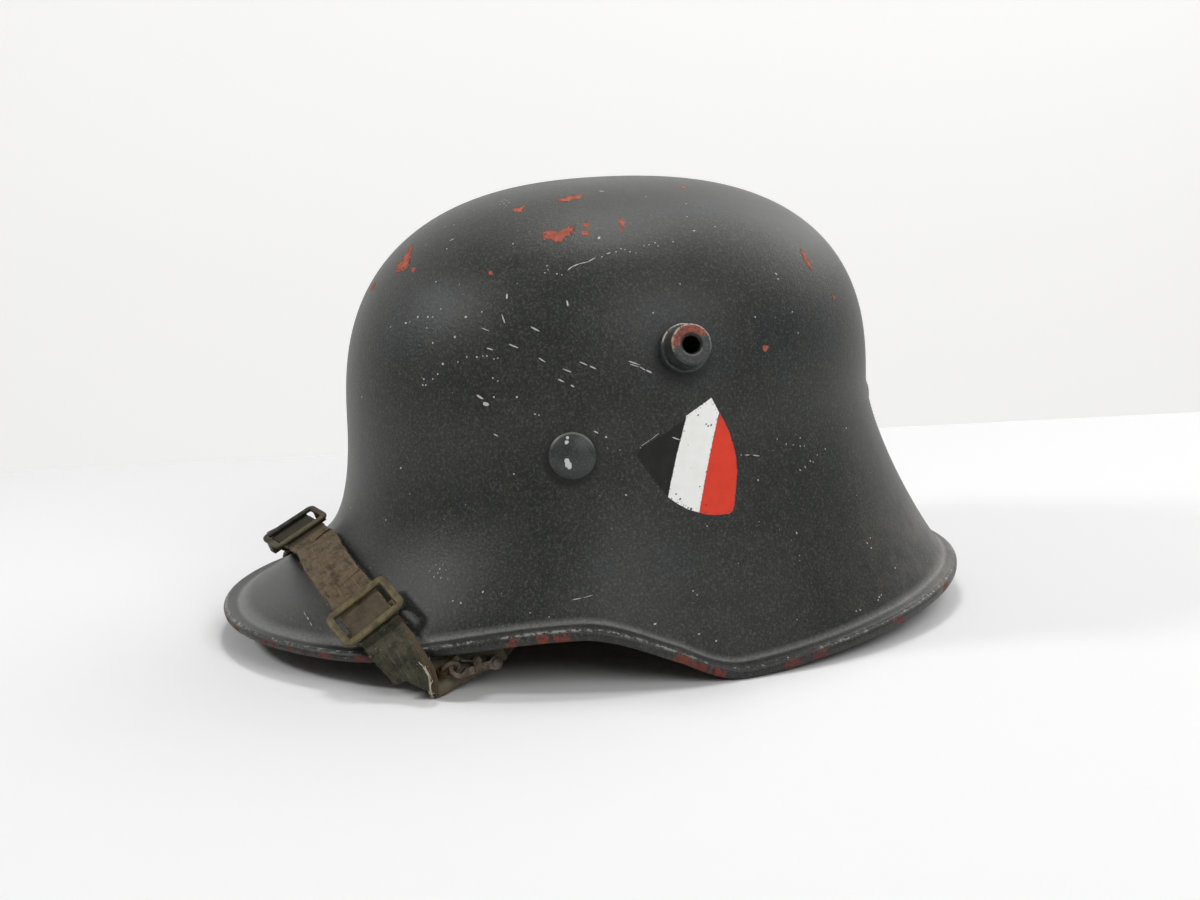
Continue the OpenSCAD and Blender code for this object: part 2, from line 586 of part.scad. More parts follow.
// The hook: a flat plate with a crook at the front end, riveted to the tab at its other end
crook_turn = 60.62;
crook_inside = 5.27;
crook_drop = 6.05;
crook_at = by_rim(crook_turn, crook_inside, -crook_drop);
hook_x = unit([-5, 17, 2]);
hook_face = [0.93, 0.25, 0.25];
hook_z = unit(hook_face - hook_x * (hook_face * hook_x));
hook_y = cross(hook_z, hook_x);
hook_t = 2;
crook_r = 4.2;
crook_in = 2.5;
hook_bar_h = 3;
hook_rivet_x = 14.5;
hook_rivet_y = -crook_r + hook_bar_h / 2;
hook_rivet_r = 1;
rivet_play = 0.03;
cheek_t = 0.6;
cheek_r = 1.6;
cheek_foot = 0.4 - crook_r;
gate_x = 7.2;
gate_y = 0.3;
gate_pin_r = 0.5;
gate_eye_r = 1.1;
gate_tip = [1.2, 1.9];
hook_ring_r = 3.4;
// Tilt of the ring out of the hook's plane
hook_ring_tilt = 45;
hook_ring_wire = 0.8;
// Depth behind the hook of the near strap's end and of the tab
flap_z = -4.75;
flap_past_rivet = 5;
tab_w = 14;
tab_t = 2;
tab_z = flap_z - strap_t / 2 - 0.3 - tab_t / 2;
module at_hook() { aim(crook_at, hook_x, hook_z) children(); }
function hook_pt(x, y, z) = crook_at + hook_x * x + hook_y * y + hook_z * z;
// Straps are swept along stations: a point and the direction in which the grain side faces
function spline(r, t, c) =
    let (n = len(r) - 1, i = min(floor(t), n - 1), f = t - i,
         p0 = r[max(i - 1, 0)][c], p1 = r[i][c], p2 = r[i + 1][c], p3 = r[min(i + 2, n)][c])
    0.5 * (2 * p1 + (p2 - p0) * f + (2 * p0 - 5 * p1 + 4 * p2 - p3) * f * f
        + (3 * p1 - p0 - 3 * p2 + p3) * f * f * f);
module strap(route, width, thick, steps) {
    n = (len(route) - 1) * steps;
    mid = [for (i = [0:n]) spline(route, i / steps, 0)];
    rows = [for (i = [0:n])
        let (t = unit(mid[min(i + 1, n)] - mid[max(i - 1, 0)]), g = spline(route, i / steps, 1),
             w = unit(cross(g, t)))
        [w, cross(t, w)]];
    function face(side) = [for (i = [0:n]) for (q = [-1, 0, 1])
        mid[i] + rows[i][0] * q * width / 2 + rows[i][1] * side * thick / 2];
    slab(face(1), face(-1), n + 1, 3);
}
// A strap's end is folded round the lower bar of a band ring, with some play
fold_in_r = 2.6;
fold_out_r = fold_in_r + strap_t * 0.9;
fold_drop = fold_in_r - ring_wire_r - 0.3;
fold_y = -ring_l - fold_drop;
module at_fold() {
    at_band(bracket_turn, knuckle_z) translate([0, fold_y, -ring_out]) children();
}
fold_in = band_inset + band_t + ring_out;
fold_mid = band_pt(bracket_turn, fold_in, knuckle_z + fold_y);
fold_foot = fold_mid - [0, 0, fold_in_r + 0.6];
module strap_fold(width) {
    at_fold() rotate([0, 90, 0]) difference() {
        cylinder(r = fold_out_r, h = width, center = true);
        cylinder(r = fold_in_r, h = width + 2, center = true);
    }
}

// The straight runs over the visor, on which the two buckles slide: the strap's middle under each
// buckle, the direction up the strap, and its face
big_mid = above_shell(44.51, 1.8535, 5.3);
big_up = unit([-0.86, -0.35, 0.37]);
big_face = [0.49, -0.42, 0.76];
small_mid = above_shell(-1.28, 1.5277, 12.49);
small_up = unit([-0.9, -0.4, 0.11]);
small_face = [0.32, -0.3, 0.9];
function run_w(up, face) = unit(cross(face, up));
function run_n(up, face) = cross(up, run_w(up, face));
big_n = run_n(big_up, big_face);
small_n = run_n(small_up, small_face);
// Length of straight run that each buckle needs on the side to which it slides
big_clear = big_buckle_l / 2 + big_travel + 1;
small_clear = small_buckle_l / 2 + small_travel + 2.5;
function big_pt(d, lift = 0) = [big_mid + big_up * d + big_n * lift, big_n];
function small_pt(d) = [small_mid + small_up * d, small_n];

// The near strap: an end behind the hook, a roll on the table, and a run that ends above the large buckle
// (a place by the rim is given by its turn from the front, its distance inside the rim and its height)
roll_low = by_rim(55.28, 0.78, -9.33);
roll_front = by_rim(55.53, -5.13, -5.22);
roll_top = by_rim(53.99, -4.59, 0.86);
near_route = concat([
    [hook_pt(hook_rivet_x + flap_past_rivet, 5.4, flap_z), -hook_z],
    [hook_pt(12, 3.8, flap_z), -hook_z],
    [hook_pt(4, 2.2, flap_z), -hook_z],
    [hook_pt(-4, 1.2, flap_z), [-0.85, -0.3, -0.4]],
    [roll_low, [-0.2, -0.36, -0.85]],
    [roll_front, [0.8, -0.55, -0.15]],
    [roll_top, [0.88, -0.48, 0.15]]],
    [for (d = [-17, -11, -4, 5, 12, big_clear]) big_pt(d)]);
module chinstrap_near() {
    color(near_leather_col) difference() {
        on_table() strap(near_route, strap_w, strap_t, 5);
        rivet_hole();
    }
}
// The far strap: it starts on the near one, leaves the small buckle, turns round the rim and ends in a fold
layer = strap_t + 0.3;
fold_face = level_out(bracket_turn);
function flip_x(p) = [-p[0], p[1], p[2]];
far_route = concat(
    [for (d = [-7, 1, 10, big_clear, big_clear + 4]) big_pt(d, layer)],
    [[above_shell(21.2, 1.5611, 8.52), [0.42, -0.42, 0.8]]],
    [for (d = [-small_clear - 3, -small_clear, -5, 3, 7.5, 8.7]) small_pt(d)],
    [[above_shell(-7.62, 1.6031, 12.64), [-0.6, -0.35, 0.75]],
     [above_shell(-13.78, 1.6446, 5.76), [-0.5, -0.4, 0.75]],
     [above_shell(-28.18, 1.7912, 3.05), [-0.4, -0.5, 0.75]],
     [by_rim(-39.33, 5.91, 10.7), [-0.45, -0.55, 0.7]],
     [by_rim(-39.94, -4.53, 2.7), [-0.6, -0.8, 0]],
     [by_rim(-41.01, 4.56, -4.3), [-0.1, -0.15, -0.98]],
     [by_rim(-47.58, 19.58, 2.36), [0.3, 0.4, -0.85]],
     [by_rim(-60.62, 30.63, 7.75), [0.7, 0.4, -0.6]],
     [flip_x(fold_foot) - [0, 3, 12], flip_x(-fold_face)],
     [flip_x(fold_foot), flip_x(-fold_face)]]);
module on_table() {
    difference() {
        children();
        side = visor_reach + nape_reach + 2 * brim_half_w;
        translate([0, 0, -side / 2]) cube(side, center = true);
    }
}
module chinstrap_far() {
    color(far_leather_col) {
        strap(far_route, strap_w, strap_t, 5);
        mirror([1, 0, 0]) strap_fold(strap_w - 1);
    }
}

// A buckle's frame lies over the strap, which runs along Y, and a flat bar passes under the strap
frame_t = 1.6;
frame_gap = 0.3;
under_bar_t = 1;
under_bar_w = 4;
under_gap = 0.15;
module buckle(in_w, length, bar, stack) {
    w = in_w + 2 * bar;
    r = bar * 0.9;
    foot = -strap_t / 2 - under_gap - under_bar_t;
    frame_lift = stack - strap_t / 2 + frame_gap;
    translate([0, 0, frame_lift]) linear_extrude(frame_t) difference() {
        union() {
            square([w - 2 * r, length], center = true);
            square([w, length - 2 * r], center = true);
            for (sx = [-1, 1]) for (sy = [-1, 1])
                translate([sx * (w / 2 - r), sy * (length / 2 - r)]) circle(r);
        }
        square([in_w, length - 2 * bar], center = true);
    }
    translate([-w / 2, -under_bar_w / 2, foot]) cube([w, under_bar_w, under_bar_t]);
    for (sx = [-1, 1]) translate([sx * (in_w + bar) / 2 - bar / 2, -under_bar_w / 2, foot])
        cube([bar, under_bar_w, frame_lift - foot + 0.5]);
}
module large_buckle() {
    color(brass_col) aim(big_mid, run_w(big_up, big_face), big_n)
        buckle(big_buckle_in_w, big_buckle_l, big_bar, strap_t + layer);
}
module small_buckle() {
    color(steel_col) aim(small_mid, run_w(small_up, small_face), small_n)
        buckle(small_buckle_in_w, small_buckle_l, small_bar, strap_t);
}

module carbine_hook() {
    color(wire_col) at_hook() difference() {
        union() {
            translate([0, 0, -hook_t / 2]) linear_extrude(hook_t) difference() {
                union() {
                    circle(crook_r);
                    translate([0, -crook_r]) square([hook_rivet_x, hook_bar_h]);
                    translate([hook_rivet_x, hook_rivet_y]) circle(2.6);
                }
                circle(crook_in);
                translate([0.6, hook_bar_h - crook_r]) square([6, 8]);
                translate([gate_x, gate_y]) circle(gate_eye_r + 0.2);
            }
            for (side = [-1, 1])
                translate([0, 0, side * (hook_t + cheek_t) / 2]) linear_extrude(cheek_t, center = true) {
                    translate([gate_x, gate_y]) circle(cheek_r);
                    translate([gate_x - cheek_r, cheek_foot]) square([2 * cheek_r, gate_y - cheek_foot]);
                }
            // Boss that rests on the near strap
            translate([hook_rivet_x, hook_rivet_y, flap_z + strap_t / 2 + 0.1])
                cylinder(r = 2.4, h = -flap_z - strap_t / 2 - hook_t / 2);
        }
        translate([gate_x, gate_y, 0]) cylinder(r = gate_pin_r + 0.02, h = 8, center = true);
        translate([hook_rivet_x, hook_rivet_y, 0])
            cylinder(r = hook_rivet_r + rivet_play, h = 8, center = true);
    }
}
module gate_pin() {
    color(wire_col) at_hook() translate([gate_x, gate_y, 0]) {
        translate([0, 0, -hook_t / 2 - cheek_t]) cylinder(r = gate_pin_r, h = hook_t + 2 * cheek_t + 0.3);
        translate([0, 0, hook_t / 2 + cheek_t + 0.05]) cylinder(r = 0.9, h = 0.5);
    }
}
module hook_gate() {
    reach = norm(gate_tip - [gate_x, gate_y]);
    color(wire_col) at_hook() translate([gate_x, gate_y, 0])
        rotate([0, 0, atan2(gate_tip[1] - gate_y, gate_tip[0] - gate_x)]) difference() {
            union() {
                cylinder(r = gate_eye_r, h = hook_t - 0.3, center = true);
                translate([0, -0.3, -hook_t / 2 + 0.15]) cube([reach, 0.6, hook_t - 0.3]);
            }
            cylinder(r = gate_pin_r + 0.06, h = hook_t + 1, center = true);
        }
}
module rivet_hole() {
    at_hook() translate([hook_rivet_x, hook_rivet_y, 0])
        cylinder(r = hook_rivet_r + rivet_play, h = 30, center = true);
}
module hook_rivet() {
    back = tab_z - tab_t / 2 - 0.2;
    color(wire_col) at_hook() translate([hook_rivet_x, hook_rivet_y, 0]) {
        translate([0, 0, hook_t / 2 + 0.03]) cylinder(r1 = 2, r2 = 1.5, h = 0.8);
        translate([0, 0, back - 0.4]) cylinder(r = hook_rivet_r, h = hook_t / 2 + 0.8 - back);
        translate([0, 0, back - 0.65]) cylinder(r = 2, h = 0.6);
    }
}
module hook_ring() {
    color(wire_col) at_hook() translate([-hook_ring_r, 0, 0]) rotate([hook_ring_tilt, 0, 0])
        rotate_extrude() translate([hook_ring_r, 0]) circle(hook_ring_wire);
}
// Leather keeper sewn on the inner face of the near strap, with the ring through it
keeper_r = 2.2;
keeper_bore_r = hook_ring_wire + 0.6;
module ring_keeper() {
    foot = -flap_z - strap_t / 2 - 0.4;
    color(leather_col) at_hook() translate([-2 * hook_ring_r, 0, 0]) difference() {
        union() {
            rotate([hook_ring_tilt - 90, 0, 0]) cylinder(r = keeper_r, h = 3, center = true);
            translate([-1.4, -0.8, -foot]) cube([2.8, 1.6, foot]);
        }
        rotate([hook_ring_tilt - 90, 0, 0]) cylinder(r = keeper_bore_r, h = 12, center = true);
    }
}

// Leather tab from the left band ring down to the hook
tab_bend = by_rim(69.34, 27.13, 5.65);
tab_route = [
    [hook_pt(12, 2, tab_z), hook_z],
    [hook_pt(17, 3, tab_z), hook_z],
    [hook_pt(22, 5, tab_z), hook_z],
    [tab_bend, [0.95, 0.05, -0.1]],
    [fold_foot - [0, 2, 10], fold_face],
    [fold_foot, fold_face]];
module strap_tab_left() {
    color(leather_col) difference() {
        union() {
            strap(tab_route, tab_w, tab_t, 5);
            strap_fold(tab_w);
        }
        rivet_hole();
    }
}

shell();
vent_lug_left();
vent_lug_right();
liner_pin_left();
liner_pin_right();
liner_pin_rear();
pin_washer_left();
pin_washer_right();
pin_washer_rear();
liner_band();
pad_rivets();
liner_pad_front();
liner_pad_left();
liner_pad_right();
cushion_front();
cushion_left();
cushion_right();
liner_lace();
strap_bracket_left();
strap_bracket_right();
bracket_rivets();
band_ring_left();
band_ring_right();
strap_tab_left();
carbine_hook();
hook_rivet();
hook_gate();
gate_pin();
hook_ring();
ring_keeper();
chinstrap_near();
chinstrap_far();
large_buckle();
small_buckle();
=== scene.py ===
import math
from functools import reduce

import bmesh
import bpy
import numpy as np
from mathutils import Matrix, Vector
from mathutils.bvhtree import BVHTree


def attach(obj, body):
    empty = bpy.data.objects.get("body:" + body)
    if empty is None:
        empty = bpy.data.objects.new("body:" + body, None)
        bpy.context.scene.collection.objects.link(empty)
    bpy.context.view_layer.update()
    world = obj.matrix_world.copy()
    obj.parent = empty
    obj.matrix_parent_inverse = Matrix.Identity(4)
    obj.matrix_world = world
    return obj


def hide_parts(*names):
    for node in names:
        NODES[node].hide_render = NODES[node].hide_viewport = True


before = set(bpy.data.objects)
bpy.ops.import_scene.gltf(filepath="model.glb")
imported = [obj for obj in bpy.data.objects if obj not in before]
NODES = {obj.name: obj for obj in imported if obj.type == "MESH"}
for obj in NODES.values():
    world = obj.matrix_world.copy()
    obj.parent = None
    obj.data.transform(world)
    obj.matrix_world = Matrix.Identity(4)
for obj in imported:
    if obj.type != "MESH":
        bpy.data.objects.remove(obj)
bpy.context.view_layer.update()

# Lengths here are in millimetres, and new_mesh() turns them into metres
MM = 0.001
BODY = "helmet"
rng = np.random.default_rng(7)


# Camera and stage

def unit(v):
    v = np.asarray(v, float)
    return v / np.linalg.norm(v, axis=-1, keepdims=True)


def look_matrix(place, away, roll):
    right = unit(np.cross(-away, [0, 0, 1]))
    up = np.cross(right, -away)
    x = right * math.cos(roll) + up * math.sin(roll)
    y = -right * math.sin(roll) + up * math.cos(roll)
    m = Matrix([list(row) for row in np.array([x, y, away]).T]).to_4x4()
    m.translation = Vector(place)
    return m


# The photograph's camera: its angles, the direction away from the part, and the place
VIEW_AZ, VIEW_EL, VIEW_ROLL = np.radians([11.1, 12.2, -2.2])
VIEW_AWAY = np.array([math.cos(VIEW_AZ) * math.cos(VIEW_EL), -math.sin(VIEW_AZ) * math.cos(VIEW_EL),
                      math.sin(VIEW_EL)])
VIEW_CENTRE, VIEW_REACH = np.array([0, 4.4, 66]), 874.5
VIEW_AT = VIEW_CENTRE + VIEW_AWAY * VIEW_REACH
LENS, SENSOR = 63.12, 36
PHOTO_W, PHOTO_H = 1200, 900


def add_camera():
    data = bpy.data.cameras.new("camera")
    data.lens, data.sensor_width = LENS, SENSOR
    data.clip_start, data.clip_end = 0.01, 50
    camera = bpy.data.objects.new("camera", data)
    bpy.context.scene.collection.objects.link(camera)
    camera.matrix_world = look_matrix(VIEW_AT * MM, VIEW_AWAY, VIEW_ROLL)
    bpy.context.scene.camera = camera


def seen(tree, x, y):
    """The place on the shell that the photograph shows at that pixel, and the outward direction there."""
    turned = look_matrix(VIEW_AT, VIEW_AWAY, VIEW_ROLL).to_3x3()
    ray = turned @ Vector(((x - PHOTO_W / 2) / PHOTO_W * SENSOR, (PHOTO_H / 2 - y) / PHOTO_W * SENSOR, -LENS))
    hit, normal, _, _ = tree.ray_cast(Vector(VIEW_AT), ray.normalized())
    return (np.array(hit), np.array(normal)) if hit else (None, None)


# Lamps: place, target and size in metres, and power in watts
LAMPS = {
    "overhead": ((-0.24, 0.08, 1.25), (0, 0, 0.1), (0.3, 0.3), 4.5),
    "rear": ((-0.4, 0.9, 0.9), (0, 0, 0.05), (1.3, 1.1), 7.4),
    "window": ((0.02, -0.97, 0.8), (0, 0, 0.1), (0.17, 0.18), 4.2),
    "fill": ((1.2, 0.4, 0.95), (0, 0, 0.05), (0.8, 0.8), 8.0),
}


def add_area(name, place, target, size, power):
    data = bpy.data.lights.new(name, "AREA")
    data.shape = "RECTANGLE"
    data.size, data.size_y = size
    data.energy = power
    lamp = bpy.data.objects.new(name, data)
    bpy.context.scene.collection.objects.link(lamp)
    lamp.matrix_world = look_matrix(place, unit(np.array(place, float) - np.array(target, float)), 0)


def srgb(r, g, b):
    def one(c):
        c /= 255
        return c / 12.92 if c <= 0.04045 else ((c + 0.055) / 1.055) ** 2.4
    return (one(r), one(g), one(b), 1)


# Offset between textures with different seeds
SEED_STEP = (31.7, 17.3, 53.9)


class Look:
    """A node material. Sizes are in millimetres, and sockets or plain values go in alike."""

    def __init__(self, name, rough=0.5, metal=0.0, level=0.5):
        self.material = bpy.data.materials.new(name)
        self.material.use_nodes = True
        self.tree = self.material.node_tree
        self.shader = self.tree.nodes["Principled BSDF"]
        self.set("Roughness", rough)
        self.set("Metallic", metal)
        self.set("Specular IOR Level", level)
        self.place = self.vector("SCALE", self.node("TexCoord").outputs["Object"], scale=1000)

    def node(self, kind):
        return self.tree.nodes.new("ShaderNode" + kind)

    def put(self, socket, value):
        if isinstance(value, bpy.types.NodeSocket):
            self.tree.links.new(value, socket)
        else:
            socket.default_value = value

    def set(self, name, value):
        self.put(self.shader.inputs[name], value)

    def vector(self, operation, a, b=None, scale=None):
        n = self.node("VectorMath")
        n.operation = operation
        self.put(n.inputs[0], a)
        if b is not None:
            self.put(n.inputs[1], b)
        if scale is not None:
            n.inputs["Scale"].default_value = scale
        return n.outputs["Value" if operation in ("DISTANCE", "DOT_PRODUCT") else "Vector"]

    def math(self, operation, a, b=0.0, clamp=False):
        """The operation on two numbers, and clamped to 0 to 1 if asked."""
        n = self.node("Math")
        n.operation = operation
        n.use_clamp = clamp
        self.put(n.inputs[0], a)
        self.put(n.inputs[1], b)
        return n.outputs[0]

    def times(self, *values):
        return reduce(lambda a, b: self.math("MULTIPLY", a, b), values)

    def plus(self, *values):
        return reduce(lambda a, b: self.math("ADD", a, b), values)

    def most(self, *values):
        return reduce(lambda a, b: self.math("MAXIMUM", a, b), values)

    def flip(self, a):
        return self.math("SUBTRACT", 1.0, a, True)

    def stretched(self, scale, base=None):
        """The place, or other coordinates, scaled along each axis."""
        n = self.node("Mapping")
        self.put(n.inputs["Vector"], base or self.place)
        n.inputs["Scale"].default_value = scale
        return n.outputs[0]

    def texture(self, kind, size, seed, at=None):
        """A texture with features of about that size, moved away from those with other seeds."""
        n = self.node(kind)
        self.put(n.inputs["Vector"], self.vector("ADD", at or self.place, [seed * k for k in SEED_STEP]))
        n.inputs["Scale"].default_value = 1 / size
        return n

    def noise(self, size, detail, rough, seed, at=None, warp=0.0):
        n = self.texture("TexNoise", size, seed, at)
        n.inputs["Detail"].default_value = detail
        n.inputs["Roughness"].default_value = rough
        n.inputs["Distortion"].default_value = warp
        return n.outputs[0]

    def cells(self, size, seed):
        return self.texture("TexVoronoi", size, seed).outputs["Distance"]

    def threads(self, stretch, direction, scale):
        """Woven threads that run one way."""
        n = self.node("TexWave")
        self.put(n.inputs["Vector"], self.stretched(stretch))
        n.bands_direction = direction
        n.inputs["Scale"].default_value = scale
        n.inputs["Distortion"].default_value = 1.2
        return n.outputs["Fac"]

    def fade(self, x, low, high):
        """0 where x is under low, 1 where it is over high."""
        n = self.node("MapRange")
        n.interpolation_type = "SMOOTHSTEP"
        self.put(n.inputs[0], x)
        n.inputs[1].default_value = low
        n.inputs[2].default_value = high
        return n.outputs[0]

    def span(self, x, low, high):
        """x from 0 to 1 as a value from low to high."""
        n = self.node("MapRange")
        self.put(n.inputs[0], x)
        n.inputs[3].default_value = low
        n.inputs[4].default_value = high
        return n.outputs[0]

    def blend(self, share, a, b):
        n = self.node("Mix")
        n.data_type = "RGBA"
        self.put(n.inputs[0], share)
        self.put(n.inputs[6], a)
        self.put(n.inputs[7], b)
        return n.outputs[2]

    def value(self, name):
        """The mesh attribute of that name."""
        n = self.node("Attribute")
        n.attribute_name = name
        return n.outputs["Fac"]

    def axis(self, vector, index):
        n = self.node("SeparateXYZ")
        self.put(n.inputs[0], vector)
        return n.outputs[index]

    def distance(self, point):
        return self.vector("DISTANCE", self.place, point)

    def coat(self, under, tone, *shares):
        """The colour under, covered with the tone (0 to 255) by the product of the shares."""
        return self.blend(self.times(*shares), under, srgb(*tone))

    def cloudy(self, size, detail, rough, seed, a, b):
        """Two tones in soft clouds."""
        return self.blend(self.fade(self.noise(size, detail, rough, seed), 0.35, 0.7), a, b)

    def bump(self, *layers):
        """Layers of (height, depth in mm), from coarse to fine."""
        out = None
        for height, depth in layers:
            n = self.node("Bump")
            n.inputs["Distance"].default_value = depth * MM
            self.put(n.inputs["Height"], height)
            if out is not None:
                self.put(n.inputs["Normal"], out)
            out = n.outputs[0]
        self.set("Normal", out)

    def finish(self, colour, rough=None):
        self.set("Base Color", colour)
        if rough is not None:
            self.set("Roughness", rough)
        return self.material


def scaled(tone, share):
    return tuple(min(1, c * share) for c in tone[:3]) + (1,)


def stage_look(name, tone, lift):
    """A pale matt surface, lighter by lift to the camera and to glossy and transmission rays."""
    look = Look(name, rough=0.9, level=0.1)
    shade = look.noise(380, 2, 0.5, seed=4)
    path = look.node("LightPath")
    rays = look.most(*(path.outputs[f"Is {kind} Ray"] for kind in ("Camera", "Glossy", "Transmission")))
    look.set("Emission Color", (1, 1, 0.995, 1))
    look.set("Emission Strength", look.times(rays, lift))
    return look.finish(look.blend(shade, scaled(tone, 0.97), tone))


# The table: a point on its far edge, the edge's direction, and how far the table reaches to the front and to
# each side. The backdrop's rows are distance behind the edge and height
TABLE_EDGE, TABLE_ALONG = np.array([-321.0, 68.0, 0]), unit([95.0, 684.0, 0])
TABLE_REACH, TABLE_HALF = 2600, 2500
BACKDROP = [
    (-TABLE_REACH, -905), (880, -900), (884, -300), (900, 60), (930, 500), (945, 1200), (950, 2400),
]
BACKDROP_COLS, BACKDROP_STEP = 41, 200


def add_stage():
    """A table whose far edge crosses the view, and a pale backdrop that runs under it and rises behind it."""
    back = np.array([-TABLE_ALONG[1], TABLE_ALONG[0], 0])
    near, wide = TABLE_EDGE - back * TABLE_REACH, TABLE_ALONG * TABLE_HALF
    table = [near - wide, near + wide, TABLE_EDGE + wide, TABLE_EDGE - wide]
    paint = stage_look("floor_paint", srgb(247, 247, 247), 0.0)
    floor = new_mesh("floor", table, [(0, 1, 2, 3)], paint, smooth=False)
    verts = []
    for k, (out, z) in enumerate(BACKDROP):
        for i in range(BACKDROP_COLS):
            ripple, along = 6 * math.sin(i * 0.9 + k), (i - BACKDROP_COLS // 2) * BACKDROP_STEP
            verts.append(TABLE_EDGE + back * (out + ripple) + TABLE_ALONG * along + [0, 0, z])
    wall = new_mesh("backdrop", verts, grid_faces(len(BACKDROP), BACKDROP_COLS),
                    stage_look("backdrop_cloth", srgb(190, 189, 187), 0.665))


SKY_LOW, SKY_HIGH = 0.06, 0.3


def add_world():
    """A pale studio, brighter overhead than at the level of the table."""
    world = bpy.data.worlds.new("studio")
    bpy.context.scene.world = world
    world.use_nodes = True
    nodes, links = world.node_tree.nodes, world.node_tree.links
    place, split, level = (nodes.new("ShaderNode" + kind) for kind in ("TexCoord", "SeparateXYZ", "MapRange"))
    links.new(place.outputs["Generated"], split.inputs[0])
    links.new(split.outputs[2], level.inputs[0])
    level.interpolation_type = "SMOOTHSTEP"
    level.inputs[1].default_value, level.inputs[2].default_value = 0.0, 0.9
    level.inputs[3].default_value, level.inputs[4].default_value = SKY_LOW, SKY_HIGH
    links.new(level.outputs[0], nodes["Background"].inputs["Strength"])
    nodes["Background"].inputs["Color"].default_value = (1, 1, 1, 1)
    bpy.context.scene.view_settings.view_transform = "Standard"


# Mesh helpers

def new_mesh(name, verts, faces, material=None, smooth=True, values=None):
    mesh = bpy.data.meshes.new(name)
    points = [tuple(p) for p in np.asarray(verts, float) * MM]
    mesh.from_pydata(points, [], [tuple(int(i) for i in f) for f in faces])
    mesh.validate()
    for key, data in (values or {}).items():
        mesh.attributes.new(key, "FLOAT", "POINT").data.foreach_set("value", np.asarray(data, np.float32))
    mesh.polygons.foreach_set("use_smooth", [smooth] * len(mesh.polygons))
    mesh.update()
    piece = bpy.data.objects.new(name, mesh)
    bpy.context.scene.collection.objects.link(piece)
    if material:
        mesh.materials.append(material)
    return piece


def put_on(piece, body, slot, *nodes):
    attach(piece, body)
    if nodes:
        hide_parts(*nodes)
    return piece


def grid_faces(rows, cols, wrap_cols=False, wrap_rows=False):
    faces = []
    for i in range(rows if wrap_rows else rows - 1):
        for j in range(cols if wrap_cols else cols - 1):
            a, b = i * cols + j, i * cols + (j + 1) % cols
            c, d = ((i + 1) % rows) * cols + (j + 1) % cols, ((i + 1) % rows) * cols + j
            faces.append((a, b, c, d))
    return faces


def closed_sheet(rows, cols, open_rows=0):
    """Faces of a solid from two grids of points, the front and then the back, joined along their borders.
    The end of the last column stays open in the first open_rows rows."""
    back = rows * cols
    front = grid_faces(rows, cols)
    faces = front + [(a + back, d + back, c + back, b + back) for a, b, c, d in front]
    last_row, last_col = (rows - 1) * cols, cols - 1
    border = [((i + 1) * cols + last_col, i * cols + last_col) for i in range(open_rows, rows - 1)]
    border += [(i * cols, (i + 1) * cols) for i in range(rows - 1)]
    border += [(j + 1, j) for j in range(last_col)]
    border += [(last_row + j, last_row + j + 1) for j in range(last_col)]
    return faces + [(a, b, b + back, a + back) for a, b in border]


def flipped(faces):
    return [face[::-1] for face in faces]


def catmull(points, steps):
    """A smooth curve through rows of points, as in the CAD part; the points may have any shape."""
    p = np.asarray(points, float)
    n = len(p) - 1
    out = []
    for k in range(n * steps + 1):
        t = k / steps
        i = min(int(t), n - 1)
        f = t - i
        p0, p1, p2, p3 = p[max(i - 1, 0)], p[i], p[i + 1], p[min(i + 2, n)]
        out.append(0.5 * (2 * p1 + (p2 - p0) * f + (2 * p0 - 5 * p1 + 4 * p2 - p3) * f * f
                          + (3 * p1 - p0 - 3 * p2 + p3) * f ** 3))
    return np.array(out)


def tube(points, radius, sides, closed=False, twist=None):
    """Points and faces of a tube. twist is (lobes, depth, turns per mm) for a twisted cord."""
    p = np.asarray(points, float)
    n = len(p)
    radius = np.broadcast_to(np.asarray(radius, float), (n,))
    tangent = unit(np.roll(p, -1, 0) - np.roll(p, 1, 0)) if closed else unit(np.gradient(p, axis=0))
    side = np.cross(tangent[0], [0.3, 0.2, 0.9])
    rows, run = [], 0.0
    for i in range(n):
        side = side - tangent[i] * (side @ tangent[i])
        side = unit(side)
        other = np.cross(tangent[i], side)
        if i:
            run += np.linalg.norm(p[i] - p[i - 1])
        for k in range(sides):
            angle = 2 * math.pi * k / sides
            r = radius[i]
            if twist:
                r *= 1 + twist[1] * math.cos(twist[0] * (angle - 2 * math.pi * run * twist[2]))
            rows.append(p[i] + (side * math.cos(angle) + other * math.sin(angle)) * r)
    faces = grid_faces(n, sides, True, closed)
    if not closed:
        faces += [tuple(range(sides))[::-1], tuple((n - 1) * sides + k for k in range(sides))]
    return rows, faces


def merge(parts):
    """Several (points, faces) as one."""
    verts, faces = [], []
    for v, f in parts:
        base = len(verts)
        verts += [np.asarray(p, float) for p in v]
        faces += [tuple(i + base for i in face) for face in f]
    return verts, faces


# The shell's formulas, as in the CAD part. Three values stand for the front, the side and the rear

CROWN_Z, SKULL_HALF, SKULL_FRONT, SKULL_REAR = 178.0, 93.0, 109.0, 105.5
GIRTH_Z = (87.0, 90.0, 95.0)
DOME_POWER, SKULL_POWERS, BRIM_POWERS = 2.53, (2.08, 2.05), (2.1, 2.0)
SHEET = 1.2
VISOR, NAPE, BRIM_HALF = 164.0, 144.0, 118.0
VISOR_Z, ARCH_Z, NAPE_Z = 10.8, 20.6, 12.3
SLOPES = (25.5, 70.0, 51.5)
LIP_H, LIP_T = (2.6, 3.8, 3.8), 2.6
HEAD_Y, LEAN = 10.0, 1.4
BROW_A, ARCH_A, EAR_A, NAPE_EASE = 41.0, 77.5, 100.0, 0.67
FLANGE, DROP = (6.6, 5.4, 5.4), (0.5, 2.0, 2.0)
FLARE_START, FLARE_END = (0.78, 0.38, 0.26), (0.68, 0.5, 0.58)


